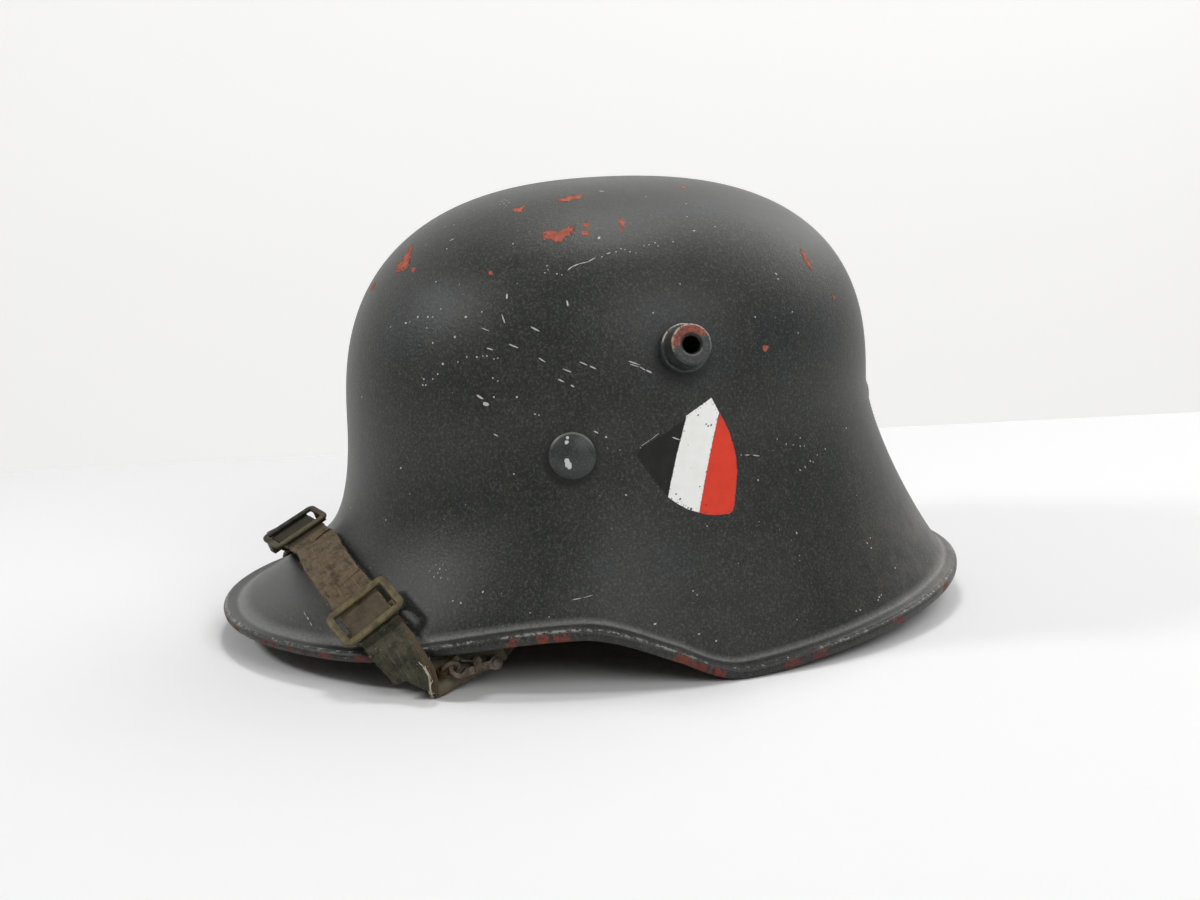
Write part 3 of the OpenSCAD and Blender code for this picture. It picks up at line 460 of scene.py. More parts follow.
def turn3(a, v):
    c = np.cos(np.radians(a))
    return v[1] + (np.where(c > 0, v[0], v[2]) - v[1]) * c * c


def ease(a, b, t):
    t = np.clip(t, 0, 1)
    return a + (b - a) * t * t * (3 - 2 * t)


def oval(a, front, rear, half, pf, pr):
    c, s = np.cos(np.radians(a)), np.sin(np.radians(a))
    p, reach = np.where(c > 0, pf, pr), np.where(c > 0, front, rear)
    return np.stack([np.sign(s) * half * np.abs(s) ** (2 / p),
                     -np.sign(c) * reach * np.abs(c) ** (2 / p)], -1)


def skull_at(a, inset=0.0):
    return oval(a, SKULL_FRONT - inset, SKULL_REAR - inset, SKULL_HALF - inset, *SKULL_POWERS)


def brim_at(a):
    return oval(a, VISOR, NAPE, BRIM_HALF, *BRIM_POWERS)


def out_of(p, q):
    t = q - p
    return unit(np.stack([t[..., 1], -t[..., 0]], -1))


def brim_out(a):
    return out_of(brim_at(a - 0.5), brim_at(a + 0.5))


def rim_z(a):
    a = np.asarray(a, float) % 360
    a = np.where(a > 180, 360 - a, a)
    rear = ease(0, NAPE_Z, np.clip((a - EAR_A) / (180 - EAR_A), 0, 1) ** NAPE_EASE)
    ear = ease(ARCH_Z, 0, (a - ARCH_A) / (EAR_A - ARCH_A))
    brow = ease(VISOR_Z, ARCH_Z, (a - BROW_A) / (ARCH_A - BROW_A))
    return np.where(a < BROW_A, VISOR_Z, np.where(a < ARCH_A, brow, np.where(a < EAR_A, ear, rear)))


def crease_z(a):
    return rim_z(a) + turn3(a, LIP_H) + turn3(a, DROP)


def shell_pt(a, s):
    """Point on the outer face: s is 0 at the crown, 1 at the widest line and 2 at the crease."""
    a, s = np.broadcast_arrays(np.asarray(a, float), np.asarray(s, float))
    g, p, q = turn3(a, GIRTH_Z), skull_at(a), brim_at(a) - brim_out(a) * turn3(a, FLANGE)[..., None]
    up = np.radians(90 * np.clip(s, 1e-9, 1))
    k, r = np.sin(up) ** (2 / DOME_POWER), np.clip(np.cos(up), 0, 1) ** (2 / DOME_POWER)
    dome = np.concatenate([p * k[..., None], (g + (CROWN_Z - g) * r)[..., None]], -1)
    dome[..., 1] += LEAN * r + HEAD_Y
    t, zc = np.clip(s - 1, 0, 1), crease_z(a)
    reach, slope = np.linalg.norm(q - p, axis=-1), np.radians(turn3(a, SLOPES))
    k1, k2 = turn3(a, FLARE_START), turn3(a, FLARE_END)
    z1, u2, z2 = g - k1 * (g - zc), 1 - k2 * np.cos(slope), zc + k2 * reach * np.sin(slope)
    b1, b2, b3 = 3 * (1 - t) ** 2 * t, 3 * (1 - t) * t * t, t ** 3
    u, z = b2 * u2 + b3, (1 - t) ** 3 * g + b1 * z1 + b2 * z2 + b3 * zc
    flare = np.concatenate([p * (1 - u[..., None]) + q * u[..., None], z[..., None]], -1)
    flare[..., 1] += HEAD_Y
    return np.where((s <= 1)[..., None], dome, flare)


def shell_out(a, s):
    e = 0.02
    u = shell_pt(a, np.minimum(2, s + e)) - shell_pt(a, s - e)
    v = shell_pt(a + 1, s) - shell_pt(a - 1, s)
    return unit(np.cross(u, v))


def s_at(a, z):
    low, high = 0.02, 2.0
    for _ in range(24):
        m = (low + high) / 2
        if shell_pt(a, m)[2] > z:
            low = m
        else:
            high = m
    return (low + high) / 2


def rim_rows(a):
    """The flange, the rolled lip and its back, from the crease on the outside to the crease on the inside."""
    w, h = turn3(a, FLANGE), turn3(a, LIP_H)
    top = crease_z(a) - rim_z(a)
    q = [(w * 0.72, h + (top - h) * 0.78 - 0.12), (w * 0.5, h + (top - h) * 0.55 + 0.1), (w * 0.28, h + 0.75),
         (1.5, h + 0.6), (0.75, h + 0.15), (0.25, h - 0.45), (0, h - 1.2), (0, 1.4), (0.15, 0.65),
         (0.55, 0.15), (1.1, 0.0), (LIP_T - 1.0, 0.0), (LIP_T - 0.4, 0.2), (LIP_T, 0.75),
         (LIP_T + 0.05, h - 1.5),
         (LIP_T + 0.45, h - 0.85), (w * 0.75, h + (top - h) * 0.7 - SHEET)]
    rows = []
    for inside, up in q:
        p = brim_at(a) - brim_out(a) * np.broadcast_to(inside, a.shape)[..., None]
        rows.append(np.column_stack([p[:, 0], p[:, 1] + HEAD_Y, rim_z(a) + up]))
    return rows


# Red wear on the lip: turn round the head and half length, in degrees, and how bright
RIM_WEAR = [
    (69, 0.6, 1), (72.8, 0.8, 1), (75.2, 0.9, 1), (90.2, 1.3, 1), (92.6, 0.7, 0.7), (95.2, 1.0, 1),
    (107.5, 1.3, 0.8), (112.5, 1.2, 0.6), (130, 1.2, 0.6), (39.2, 1.3, 0.8), (46.2, 1.5, 0.6),
    (25.5, 3.4, 0.4), (31.5, 0.9, 0.5), (10.2, 6, 0.35), (-4, 8, 0.35), (148, 1.4, 0.7), (171, 2, 0.6),
    (-31, 2, 0.6), (-58, 1.2, 1), (-84, 1.6, 0.8), (-99, 1.8, 1), (-127, 1.2, 0.6), (-150, 2.5, 0.7),
]


def shell_data():
    a = np.arange(-180, 180, 1.0)
    dome = [shell_pt(a, s) for s in np.linspace(0, 1, 43)[1:]]
    flare = [shell_pt(a, s) for s in np.linspace(1, 2, 51)[1:]]
    inner = [shell_pt(a, s) - shell_out(a, s) * SHEET for s in np.linspace(2, 0, 81)[:-1]]
    # The first two rows only give the rim's curve its direction
    rim = list(catmull([shell_pt(a, 1.98), flare[-1]] + rim_rows(a) + [inner.pop(0)], 3)[4:])
    rows = dome + flare + rim + inner
    n = len(a)
    verts = np.concatenate(rows + [[[0, LEAN + HEAD_Y, CROWN_Z], [0, LEAN + HEAD_Y, CROWN_Z - SHEET]]])
    faces = flipped(grid_faces(len(rows), n, True))
    top, last = len(rows) * n, (len(rows) - 1) * n
    for j in range(n):
        k = (j + 1) % n
        faces.append((top, j, k))
        faces.append((top + 1, last + k, last + j))
    outer = len(dome) + len(flare)
    lip, inside = np.zeros(len(verts)), np.zeros(len(verts))
    for i in range(len(rim)):
        share = i / (len(rim) - 1)
        row = slice((outer + i) * n, (outer + i + 1) * n)
        lip[row] = np.interp(share, [0, 0.16, 0.3, 0.42, 0.62, 0.75, 1], [0, 0.1, 0.55, 1, 1, 0.6, 0])
        inside[row] = np.interp(share, [0.75, 0.9], [0, 1])
    inside[(outer + len(rim)) * n:len(rows) * n] = 1
    inside[top + 1] = 1
    worn, bright = np.zeros(n), np.zeros(n)
    for turn, half, level in RIM_WEAR:
        gap = np.abs((a - turn + 180) % 360 - 180)
        near = np.clip(1.5 - gap / (half + 0.4), 0, 1)
        bright = np.where(near > worn, level, bright)
        worn = np.maximum(worn, near)
    # Crease: the share of the pale band along the crease in each row, rubbed paint with a painted highlight
    crease = np.zeros(len(verts))
    for i, share in ((-3, 0.35), (-2, 0.8), (-1, 1), (0, 0.7), (1, 0.2)):
        crease[(outer + i) * n:(outer + i + 1) * n] = share
    scuffed = np.exp(-((a - 76) / 11) ** 2)
    whole = {name: np.concatenate([np.tile(row, len(rows)), [0, 0]])
             for name, row in (("wear", worn), ("bright", bright), ("scuffed", scuffed))}
    return verts, faces, {"lip": lip, "inside": inside, "crease": crease, **whole}, outer * n


PAINT_GLOSS, PAINT_IOR = 0.9, 1.3
PAINT_DARK, PAINT_PALE = srgb(34, 37, 34), srgb(45, 47, 43)


def paint_layers(look):
    """The dark field-grey paint: colour, roughness and fine grain."""
    grain = look.noise(1.0, 4, 0.74, seed=1)
    cloud = look.noise(26, 4, 0.6, seed=2)
    patch = look.noise(7, 4, 0.62, seed=3)
    colour = look.blend(look.fade(cloud, 0.32, 0.7), PAINT_DARK, PAINT_PALE)
    colour = look.coat(colour, (54, 53, 45), look.fade(patch, 0.48, 0.75), 0.5)
    blue = look.fade(look.noise(34, 3, 0.5, seed=5), 0.5, 0.72)
    colour = look.coat(colour, (42, 45, 52), blue, 0.5)
    colour = look.coat(colour, (90, 90, 84), look.fade(grain, 0.5, 0.66), 0.55)
    colour = look.coat(colour, (18, 19, 17), look.flip(look.fade(grain, 0.36, 0.48)), 0.6)
    rough = look.span(look.plus(look.times(cloud, 0.35), look.times(grain, 0.65)), 0.26, 0.54)
    return colour, rough, grain, patch


def shell_look():
    look = Look("shell_paint", level=PAINT_GLOSS)
    look.set("IOR", PAINT_IOR)
    colour, rough, grain, patch = paint_layers(look)
    z, y = look.axis(look.place, 2), look.axis(look.place, 1)
    # Dust on the nape and on the lower skirt
    dusty = look.times(look.fade(y, 70, 150), look.fade(look.math("SUBTRACT", 70.0, z), 0, 50))
    dusty = look.times(dusty, look.fade(look.noise(9, 4, 0.65, seed=6), 0.4, 0.62))
    colour = look.coat(colour, (112, 101, 88), dusty, 0.42)
    # Small pale nicks, a few everywhere and more in some places
    where = look.fade(look.noise(22, 2, 0.5, seed=7), 0.5, 0.68)
    nick = look.flip(look.fade(look.cells(2.6, seed=2), 0.05, 0.1))
    nick = look.times(nick, look.fade(look.noise(4.2, 2, 0.5, seed=8), 0.52, 0.58),
                      look.plus(look.times(where, 0.9), 0.1))
    colour = look.coat(colour, (196, 196, 190), nick)
    # Lip: worn dark steel, with the red primer showing
    lip, wear = look.value("lip"), look.value("wear")
    rub = look.times(lip, look.fade(look.noise(3.4, 4, 0.65, seed=9), 0.42, 0.6))
    colour = look.coat(colour, (34, 32, 33), rub, 0.55)
    rag = look.noise(1.5, 4, 0.7, seed=10)
    red = look.fade(look.plus(look.times(wear, 0.36), look.times(rag, 1.2)), 0.86, 0.95)
    stray = look.plus(look.times(look.noise(15, 2, 0.5, seed=11), 0.7), look.times(rag, 0.5))
    stray = look.fade(stray, 0.73, 0.79)
    red = look.times(look.most(red, stray), look.fade(look.plus(lip, rag), 1.0, 1.25))
    red_colour = look.blend(look.value("bright"), srgb(58, 26, 28), srgb(128, 54, 42))
    colour = look.blend(look.times(red, 0.85), colour, red_colour)
    # Pale edges: rubbed paint with a painted highlight along the crease, and rubbed bits on the top of the
    # lip
    top = look.times(look.fade(lip, 0.04, 0.2), look.flip(look.fade(lip, 0.35, 0.6)))
    bits = look.plus(look.noise(2.2, 4, 0.75, seed=27), look.times(look.noise(28, 1, 0.5, seed=28), 0.35))
    bits = look.fade(look.plus(bits, look.times(look.value("scuffed"), 0.14)), 0.7, 0.78)
    crease_rub_and_highlight = look.times(look.value("crease"), look.span(look.noise(1.2, 4, 0.75, seed=29), -0.1, 1.1))
    colour = look.coat(colour, (142, 142, 138), look.most(look.times(top, bits, 0.9), crease_rub_and_highlight))
    # Dark ring at the foot of the lugs and pins, set a little low: grime and a painted contact shadow
    for at, out, low, high in ((LUG_AT, LUG_AXIS, 9.2, 14.5), (PIN_AT, PIN_OUT, 8.6, 11.5)):
        for side in (1, -1):
            centre, across, up, _ = flat_at(at * [side, 1, 1], out * [side, 1, 1])
            foot = look.flip(look.fade(look.distance(centre - up * 1.8 - across * 0.8), low, high))
            colour = look.coat(colour, (15, 16, 14), foot, 0.75)
    # Inside: older paint with rust freckles
    inside = look.value("inside")
    rust = look.times(inside, look.fade(look.noise(5.5, 5, 0.7, seed=13), 0.52, 0.68))
    colour = look.coat(colour, (92, 58, 38), rust, 0.75)
    rough = look.most(rough, look.times(look.most(rust, red), 0.75))
    look.bump((patch, 0.12), (look.flip(look.most(red, nick)), 0.05), (grain, 0.17))
    return look.finish(colour, rough)


def add_shell():
    verts, faces, values, outer = shell_data()
    shell = new_mesh("shell_steel", verts, faces, shell_look(), values=values)
    # The outer face alone, for paint and marks
    crown = len(verts) - 2
    tree = BVHTree.FromPolygons([tuple(p) for p in verts], [f for f in faces if max(f) < outer or crown in f])
    cutters = []
    for side in (1, -1):
        flip = np.array([side, 1, 1])
        cutters.append(tube([(LUG_AT - LUG_AXIS * 6) * flip, (LUG_AT + LUG_AXIS * 4) * flip], LUG_HOLE_R, 40))
        cutters.append(tube([(PIN_AT - PIN_OUT * 5) * flip, (PIN_AT + PIN_OUT * 3) * flip], PIN_HOLE_R, 32))
    cutters.append(tube([REAR_PIN_AT - REAR_PIN_OUT * 5, REAR_PIN_AT + REAR_PIN_OUT * 3], PIN_HOLE_R, 32))
    cut_holes(shell, new_mesh("cutter", *merge(cutters)))
    put_on(shell, BODY, "painted_shell", "shell")
    return tree


def cut_holes(piece, cutter):
    """Cuts the cutter out of the piece's mesh, and removes the cutter."""
    cut = piece.modifiers.new("holes", "BOOLEAN")
    cut.operation, cut.object, cut.solver = "DIFFERENCE", cutter, "EXACT"
    bpy.context.view_layer.update()
    done = bpy.data.meshes.new_from_object(piece.evaluated_get(bpy.context.evaluated_depsgraph_get()))
    piece.modifiers.clear()
    old, piece.data = piece.data, done
    bpy.data.meshes.remove(old)
    piece.data.polygons.foreach_set("use_smooth", [True] * len(piece.data.polygons))
    bpy.data.objects.remove(cutter)


# Places and outward directions of the lugs and pins, and the radii of their holes
LUG_AT, LUG_AXIS = np.array([89.90, 19.60, 121.50]), np.array([0.9474, 0.0829, 0.3090])
PIN_AT, PIN_OUT = np.array([89.28, -23.58, 84.40]), np.array([0.966, -0.2447, 0.0836])
REAR_PIN_AT, REAR_PIN_OUT = np.array([0, 116.89, 84.40]), np.array([0, 0.9754, 0.2206])
LUG_HOLE_R, PIN_HOLE_R = 5.25, 3.4
# Radius of the ball that a pin's head is cut from
PIN_BALL = 14.55


# Thin patches of paint that lie on the shell, and their heights over it

STRIPE_LIFT, STRIPE_STEP, CHIP_LIFT, MARK_LIFT = 0.07, 0.02, 0.05, 0.13


def spot(turn, z):
    """Place on the shell, and the directions across (towards the nape on the left side), up and out."""
    s = s_at(turn, z)
    return flat_at(shell_pt(turn, s), shell_out(turn, s))


def lay(tree, point, out, lift):
    hit = tree.ray_cast(Vector(point + out * 25), Vector(-out))[0]
    return np.array(hit) + out * lift if hit else np.asarray(point) + out * lift


def patch_on(tree, at, outline, rings, lift):
    """Points and faces of a patch with that outline in (across, up), laid on the shell."""
    centre, across, up, out = at
    outline = np.asarray(outline, float)
    middle = outline.mean(0)
    rows = [middle + (outline - middle) * (k / rings) for k in range(1, rings + 1)]
    flat = np.concatenate([[middle]] + rows)
    verts = [lay(tree, centre + across * q[0] + up * q[1], out, lift) for q in flat]
    n = len(outline)
    faces = [(0, 1 + k, 1 + (k + 1) % n) for k in range(n)]
    for r in range(rings - 1):
        base = 1 + r * n
        faces += [(base + k, base + n + k, base + n + (k + 1) % n, base + (k + 1) % n) for k in range(n)]
    edge = np.concatenate([[0], np.repeat(np.arange(1, rings + 1) / rings, n)])
    return verts, faces, edge


def dense(outline, step):
    """The outline with a point about every step, and a slight tremble."""
    pts = np.asarray(outline, float)
    out = []
    for p, q in zip(pts, np.roll(pts, -1, 0)):
        n = max(1, int(np.linalg.norm(q - p) / step))
        for k in range(n):
            tremble = rng.normal(0, 0.05, 2) if k else 0
            out.append(p + (q - p) * k / n + tremble)
    return np.array(out)


# The shield: turn and height of its middle, and the stripes' outlines in mm across and up from there
SHIELD_AT = (95.63, 80.64)
SHIELD = {
    "white": [(8.6, 22.0), (11.5, 16.1), (1.2, -20.6), (-2.8, -19.1), (-6.7, -16.7), (-10.5, -13.6),
              (-1.7, 16.1), (-0.1, 17.0)],
    "red": [(11.6, 16.0), (13.1, 13.4), (15.4, 8.4), (17.0, 3.1), (17.9, -2.4), (17.8, -7.1), (16.7, -13.8),
            (15.6, -19.1), (14.7, -21.5), (13.1, -22.4), (7.6, -22.2), (3.8, -21.6), (1.2, -20.6)],
    "black": [(-1.7, 15.5), (-5.1, 13.3), (-8.9, 10.8), (-14.4, 8.2), (-19.2, 5.5), (-21.1, 2.8),
              (-18.9, -1.0), (-16.6, -4.6), (-14.4, -8.1), (-10.5, -13.6)],
}


def stripe_look(name, colour, dark, pits, rough):
    look = Look("stripe_" + name, level=0.4)
    grain = look.noise(0.6, 3, 0.6, seed=14)
    tone = look.cloudy(5, 4, 0.6, 15, colour, dark)
    pit = look.times(look.flip(look.fade(look.cells(2.2, seed=5), 0.08, 0.16)),
                     look.fade(look.noise(5, 2, 0.5, seed=16), pits, pits + 0.05))
    fray = look.times(look.fade(look.value("edge"), 0.9, 1.0),
                      look.fade(look.noise(0.8, 3, 0.6, seed=17), 0.55, 0.6))
    tone = look.coat(tone, (60, 60, 56), look.most(pit, look.times(fray, 0.8)))
    look.bump((grain, 0.03))
    return look.finish(tone, rough)


# Dark pits in the white stripe, in the photograph's pixels: place and width
PITS = [
    (698, 415, 1.6), (706, 424, 1.4), (708, 426, 1.6), (711, 425, 1.8), (676, 494, 1.5), (680, 499, 1.8),
    (691, 509, 2.2), (688, 508, 1.4), (684, 431, 1.1), (706, 505, 1.2),
]
MM_PER_PX = 0.42


def add_shield(tree):
    looks = {
        "white": stripe_look("white", srgb(255, 255, 252), srgb(248, 248, 244), 0.62, 0.5),
        "red": stripe_look("red", srgb(230, 60, 34), srgb(220, 56, 32), 0.72, 0.5),
        "black": stripe_look("black", srgb(13, 14, 12), srgb(26, 27, 24), 0.6, 0.65),
    }
    at = spot(*SHIELD_AT)
    for k, (name, outline) in enumerate(SHIELD.items()):
        verts, faces, edge = patch_on(tree, at, dense(outline, 0.8), 14, STRIPE_LIFT + STRIPE_STEP * k)
        piece = new_mesh("shield_" + name, verts, faces, looks[name], values={"edge": edge})
        put_on(piece, BODY, "painted_shell")
    parts = []
    for x, y, width in PITS:
        centre, out = seen(tree, x, y)
        half = width * MM_PER_PX / 2
        outline = ragged(half * 1.2, half * 0.8, 40)[::3]
        parts.append(patch_on(tree, flat_at(centre, out), outline, 1, MARK_LIFT)[:2])
    put_on(new_mesh("shield_pits", *merge(parts), looks["black"]), BODY, "painted_shell")


# Chips down to the red primer, as outlines in the photograph's pixels
CHIPS = [
    [(543, 232), (547, 230), (559, 232), (566, 228), (570, 226), (575, 227), (574, 231), (572, 234),
     (567, 236), (564, 240), (560, 243), (555, 242), (549, 239), (543, 240)],
    [(556, 201), (562, 198), (567, 197), (572, 195), (577, 196), (583, 194), (583, 197), (578, 199),
     (572, 200), (567, 202), (561, 202)],
    [(413, 244), (409, 248), (407, 253), (403, 257), (402, 261), (398, 264), (396, 268), (396, 273),
     (400, 273), (404, 270), (407, 269), (409, 266), (410, 260), (411, 256), (412, 250)],
    [(411, 269), (413, 267), (416, 268), (416, 271), (413, 273), (411, 271)],
    [(510, 211), (514, 209), (520, 208), (522, 206), (526, 205), (524, 208), (522, 212), (518, 213),
     (513, 211)],
    [(583, 224), (586, 222), (590, 224), (589, 227), (585, 228)],
    [(581, 232), (584, 230), (588, 231), (590, 234), (587, 236), (582, 235)],
    [(618, 218), (623, 218), (625, 222), (625, 227), (622, 228), (622, 232), (620, 232), (619, 229),
     (621, 225), (619, 221)],
    [(800, 250), (802, 249), (807, 257), (811, 265), (813, 270), (811, 270), (807, 265), (803, 257)],
    [(762, 347), (764, 345), (767, 345), (769, 347), (768, 350), (766, 352), (763, 351)],
    [(680, 187), (683, 186), (688, 189), (682, 188)],
    [(832, 295), (834, 295), (836, 299), (834, 300)],
    [(488, 273), (490, 270), (492, 271), (493, 274), (490, 276)],
    [(370, 290), (373, 284), (376, 281), (375, 286), (372, 291)],
]
# Chips on the sides that the photograph doesn't show: turn, height, half length, half width and tilt
MORE_CHIPS = [
    (-40, 158, 4.2, 1.4, 20), (-96, 150, 2.6, 1.0, 60), (-148, 128, 3.2, 1.1, 40), (-118, 60, 2.2, 0.8, 10),
    (-70, 96, 1.4, 0.9, 0), (178, 150, 3.4, 1.2, 25), (-12, 28, 3.0, 0.9, 5),
]


def ragged(long, short, tilt, bays=5, tear=0.22):
    """The outline of a chip: an ellipse with bays and a torn edge."""
    turns = np.linspace(0, 2 * math.pi, 36, endpoint=False)
    wave = sum(rng.uniform(0.5, 1) / k * np.sin(k * turns + rng.uniform(0, 6.3)) for k in range(2, bays + 4))
    r = 1 + tear * wave
    x, y = long * r * np.cos(turns), short * r * np.sin(turns)
    c, s = math.cos(math.radians(tilt)), math.sin(math.radians(tilt))
    return np.column_stack([x * c - y * s, x * s + y * c])


def flat_at(centre, out):
    """The frame of a patch: its centre, across, up and out."""
    across = unit(np.cross([0, 0, 1], out))
    return centre, across, np.cross(out, across), out


def traced(tree, pixels):
    """An outline in pixels as a place on the shell and an outline in (across, up) about it."""
    found = [seen(tree, x, y)[0] for x, y in pixels]
    found = np.array([p for p in found if p is not None])
    centre, out = seen(tree, *np.mean(pixels, axis=0))
    at = flat_at(centre, out)
    return at, np.column_stack([(found - centre) @ at[1], (found - centre) @ at[2]])


def add_chips(tree):
    look = Look("primer_red", rough=0.75, level=0.25)
    tone = look.cloudy(2.2, 3, 0.6, 18, srgb(150, 76, 60), srgb(180, 104, 84))
    # Dark torn edge round each chip, partly a painted shade of the paint's step down to the primer
    torn = look.plus(look.times(look.value("edge"), 0.42), look.noise(0.9, 4, 0.7, seed=19))
    torn = look.fade(torn, 0.86, 0.92)
    tone = look.coat(tone, (62, 42, 38), torn, 0.85)
    look.bump((look.noise(0.5, 3, 0.6, seed=20), 0.05))
    parts, edges = [], []
    for pixels in CHIPS:
        at, outline = traced(tree, pixels)
        verts, faces, edge = patch_on(tree, at, dense(outline, 0.45), 4, CHIP_LIFT)
        parts.append((verts, faces))
        edges.append(edge)
    for turn, z, long, short, tilt in MORE_CHIPS:
        outline = ragged(long, short, tilt, tear=0.42)
        verts, faces, edge = patch_on(tree, spot(turn, z), outline, 4, CHIP_LIFT)
        parts.append((verts, faces))
        edges.append(edge)
    piece = new_mesh("primer_chips", *merge(parts), look.finish(tone), values={"edge": np.concatenate(edges)})
    put_on(piece, BODY, "painted_shell")


# Pale scratches in the photograph's pixels: both ends and the width
DASHES = [
    (502, 315, 505, 323, 1.2), (507, 294, 507, 299, 1.6), (567, 301, 568, 306, 1.6),
    (531, 327, 539, 331, 1.5), (482, 328, 489, 331, 0.8), (509, 344, 518, 348, 1.2),
    (487, 348, 493, 350, 1.2), (539, 358, 545, 362, 1.2), (563, 369, 571, 372, 1.2),
    (580, 362, 587, 365, 1.1), (590, 366, 596, 369, 1.2), (558, 379, 564, 382, 1.3),
    (571, 385, 574, 387, 1.4), (628, 361, 640, 365, 1.0), (630, 364, 639, 367, 0.8),
    (640, 367, 645, 370, 1.0), (646, 370, 652, 373, 1.3), (477, 395, 483, 399, 2.0),
    (483, 403, 489, 405, 3.2), (494, 434, 498, 436, 1.2), (594, 431, 598, 433, 1.3),
    (568, 270, 572, 267, 1.0), (572, 267, 579, 264, 1.0), (579, 264, 588, 262, 0.9),
    (588, 262, 595, 258, 1.0), (607, 254, 610, 253, 1.2), (599, 191, 604, 192, 1.5),
    (775, 273, 777, 275, 1.2), (796, 532, 797, 534, 1.2), (745, 455, 749, 455, 0.8),
    (753, 455, 759, 456, 1.0), (672, 437, 680, 440, 1.0), (304, 612, 306, 616, 0.5),
    (307, 617, 309, 620, 0.9), (310, 622, 312, 626, 0.6), (450, 241, 454, 239, 1.3),
    (641, 446, 650, 440, 0.45), (650, 440, 659, 433, 0.4), (572, 600, 582, 598, 0.6),
    (583, 598, 593, 595, 0.5),
]
# Pale specks in the photograph's pixels: place and width
DOTS = [
    (513, 244, 1.6), (441, 309, 1.6), (418, 317, 2.0), (428, 317, 2.4), (433, 317, 1.4), (406, 323, 2.2),
    (410, 322, 1.4), (466, 317, 2.4), (482, 312, 1.4), (455, 337, 2.6), (433, 343, 1.9), (436, 282, 1.5),
    (443, 364, 2.2), (467, 357, 1.6), (477, 357, 1.6), (483, 356, 1.4), (487, 356, 1.5), (494, 359, 1.5),
    (498, 358, 1.3), (458, 362, 1.2), (424, 379, 1.7), (433, 379, 1.4), (438, 374, 1.5), (423, 385, 1.6),
    (426, 385, 1.4), (493, 378, 1.5), (498, 381, 1.3), (427, 328, 1.2), (391, 327, 1.4), (426, 245, 1.5),
    (447, 249, 1.3), (445, 227, 1.3), (454, 225, 1.3), (494, 397, 1.8), (517, 397, 1.9), (500, 205, 1.3),
    (502, 202, 1.4), (504, 204, 1.6), (507, 201, 1.4), (509, 203, 1.5), (505, 200, 1.2), (506, 206, 1.2),
    (646, 197, 1.5), (687, 217, 1.5), (686, 204, 1.3), (694, 231, 2.3), (599, 238, 2.4), (532, 189, 1.2),
    (474, 211, 1.3), (715, 227, 1.3), (778, 279, 1.6), (755, 317, 1.6), (792, 312, 1.3), (653, 313, 1.5),
    (680, 284, 1.4), (798, 333, 1.2), (547, 266, 1.4), (548, 270, 1.2), (545, 273, 1.2), (557, 274, 1.4),
    (562, 275, 1.2), (602, 257, 1.3), (616, 252, 1.4), (621, 249, 1.5), (625, 250, 1.2), (630, 252, 1.2),
    (636, 253, 1.0), (644, 246, 1.0), (649, 245, 1.1), (655, 243, 1.5), (658, 246, 1.0), (673, 242, 1.1),
    (535, 414, 1.6), (539, 415, 1.4), (606, 437, 1.8), (401, 468, 1.9), (514, 474, 1.4), (626, 495, 1.6),
    (386, 520, 1.7), (351, 508, 1.6), (362, 397, 1.6), (846, 428, 1.8), (741, 455, 1.1), (758, 480, 1.5),
    (777, 439, 1.3), (786, 444, 1.2), (793, 445, 1.3), (800, 446, 1.5), (804, 446, 1.4), (800, 438, 1.3),
    (810, 461, 1.6), (813, 462, 1.3), (805, 467, 1.4), (800, 470, 1.6), (825, 449, 1.3), (817, 455, 1.2),
    (867, 543, 1.6), (871, 548, 1.6), (870, 538, 1.3), (895, 568, 1.7), (879, 597, 1.7), (881, 595, 1.5),
    (878, 600, 1.3), (860, 610, 1.4), (856, 611, 1.3), (707, 526, 1.4), (693, 591, 1.4), (697, 595, 1.2),
    (453, 601, 1.6), (461, 603, 1.6), (483, 592, 1.8), (436, 565, 1.0), (440, 569, 1.5), (438, 573, 1.2),
    (434, 577, 1.1), (443, 565, 1.0), (441, 578, 1.3), (446, 570, 0.9), (430, 571, 0.9), (448, 579, 0.8),
    (655, 624, 2.0), (699, 634, 1.7), (716, 641, 1.8), (549, 617, 1.2), (530, 613, 1.1),
]
# The same on the hidden sides: turn, height, half length, half width and tilt
MORE_DASHES = [
    (-60, 120, 2.4, 0.3, -20), (-66, 116, 1.6, 0.25, -20), (-101, 131, 2.2, 0.25, 30),
    (-95, 127, 1.2, 0.3, 10), (-130, 88, 2.8, 0.3, -15), (-137, 84, 1.0, 0.4, 0), (160, 96, 1.8, 0.25, 35),
    (166, 99, 0.8, 0.4, 0),
]


def add_scratches(tree):
    look = Look("bare_nicks", rough=0.6, level=0.3)
    tone = look.blend(look.noise(2.4, 3, 0.6, seed=21), srgb(138, 138, 130), srgb(232, 232, 226))
    parts = []

    def mark(at, long, short, tilt):
        parts.append(patch_on(tree, at, ragged(long, short, tilt, 3)[::3], 1, MARK_LIFT)[:2])

    for x0, y0, x1, y1, width in DASHES:
        start, _ = seen(tree, x0, y0)
        end, out = seen(tree, x1, y1)
        at = flat_at((start + end) / 2, out)
        along = end - start
        tilt = math.degrees(math.atan2(along @ at[2], along @ at[1]))
        mark(at, np.linalg.norm(along) / 2 + 0.1, width * MM_PER_PX / 2, tilt)
    for x, y, width in DOTS:
        centre, out = seen(tree, x, y)
        half = width * MM_PER_PX / 2
        long, short, tilt = half * rng.uniform(0.9, 1.3), half * rng.uniform(0.7, 1), rng.uniform(0, 180)
        mark(flat_at(centre, out), long, short, tilt)
    for turn, z, long, short, tilt in MORE_DASHES:
        mark(spot(turn, z), long, short, tilt)
    put_on(new_mesh("pale_scratches", *merge(parts), look.finish(tone)), BODY, "painted_shell")


# Materials of the other pieces

def dark_part_look(name):
    look = Look(name, level=PAINT_GLOSS)
    look.set("IOR", PAINT_IOR)
    colour, rough, grain, patch = paint_layers(look)
    look.bump((patch, 0.08), (grain, 0.08))
    return look, colour, rough


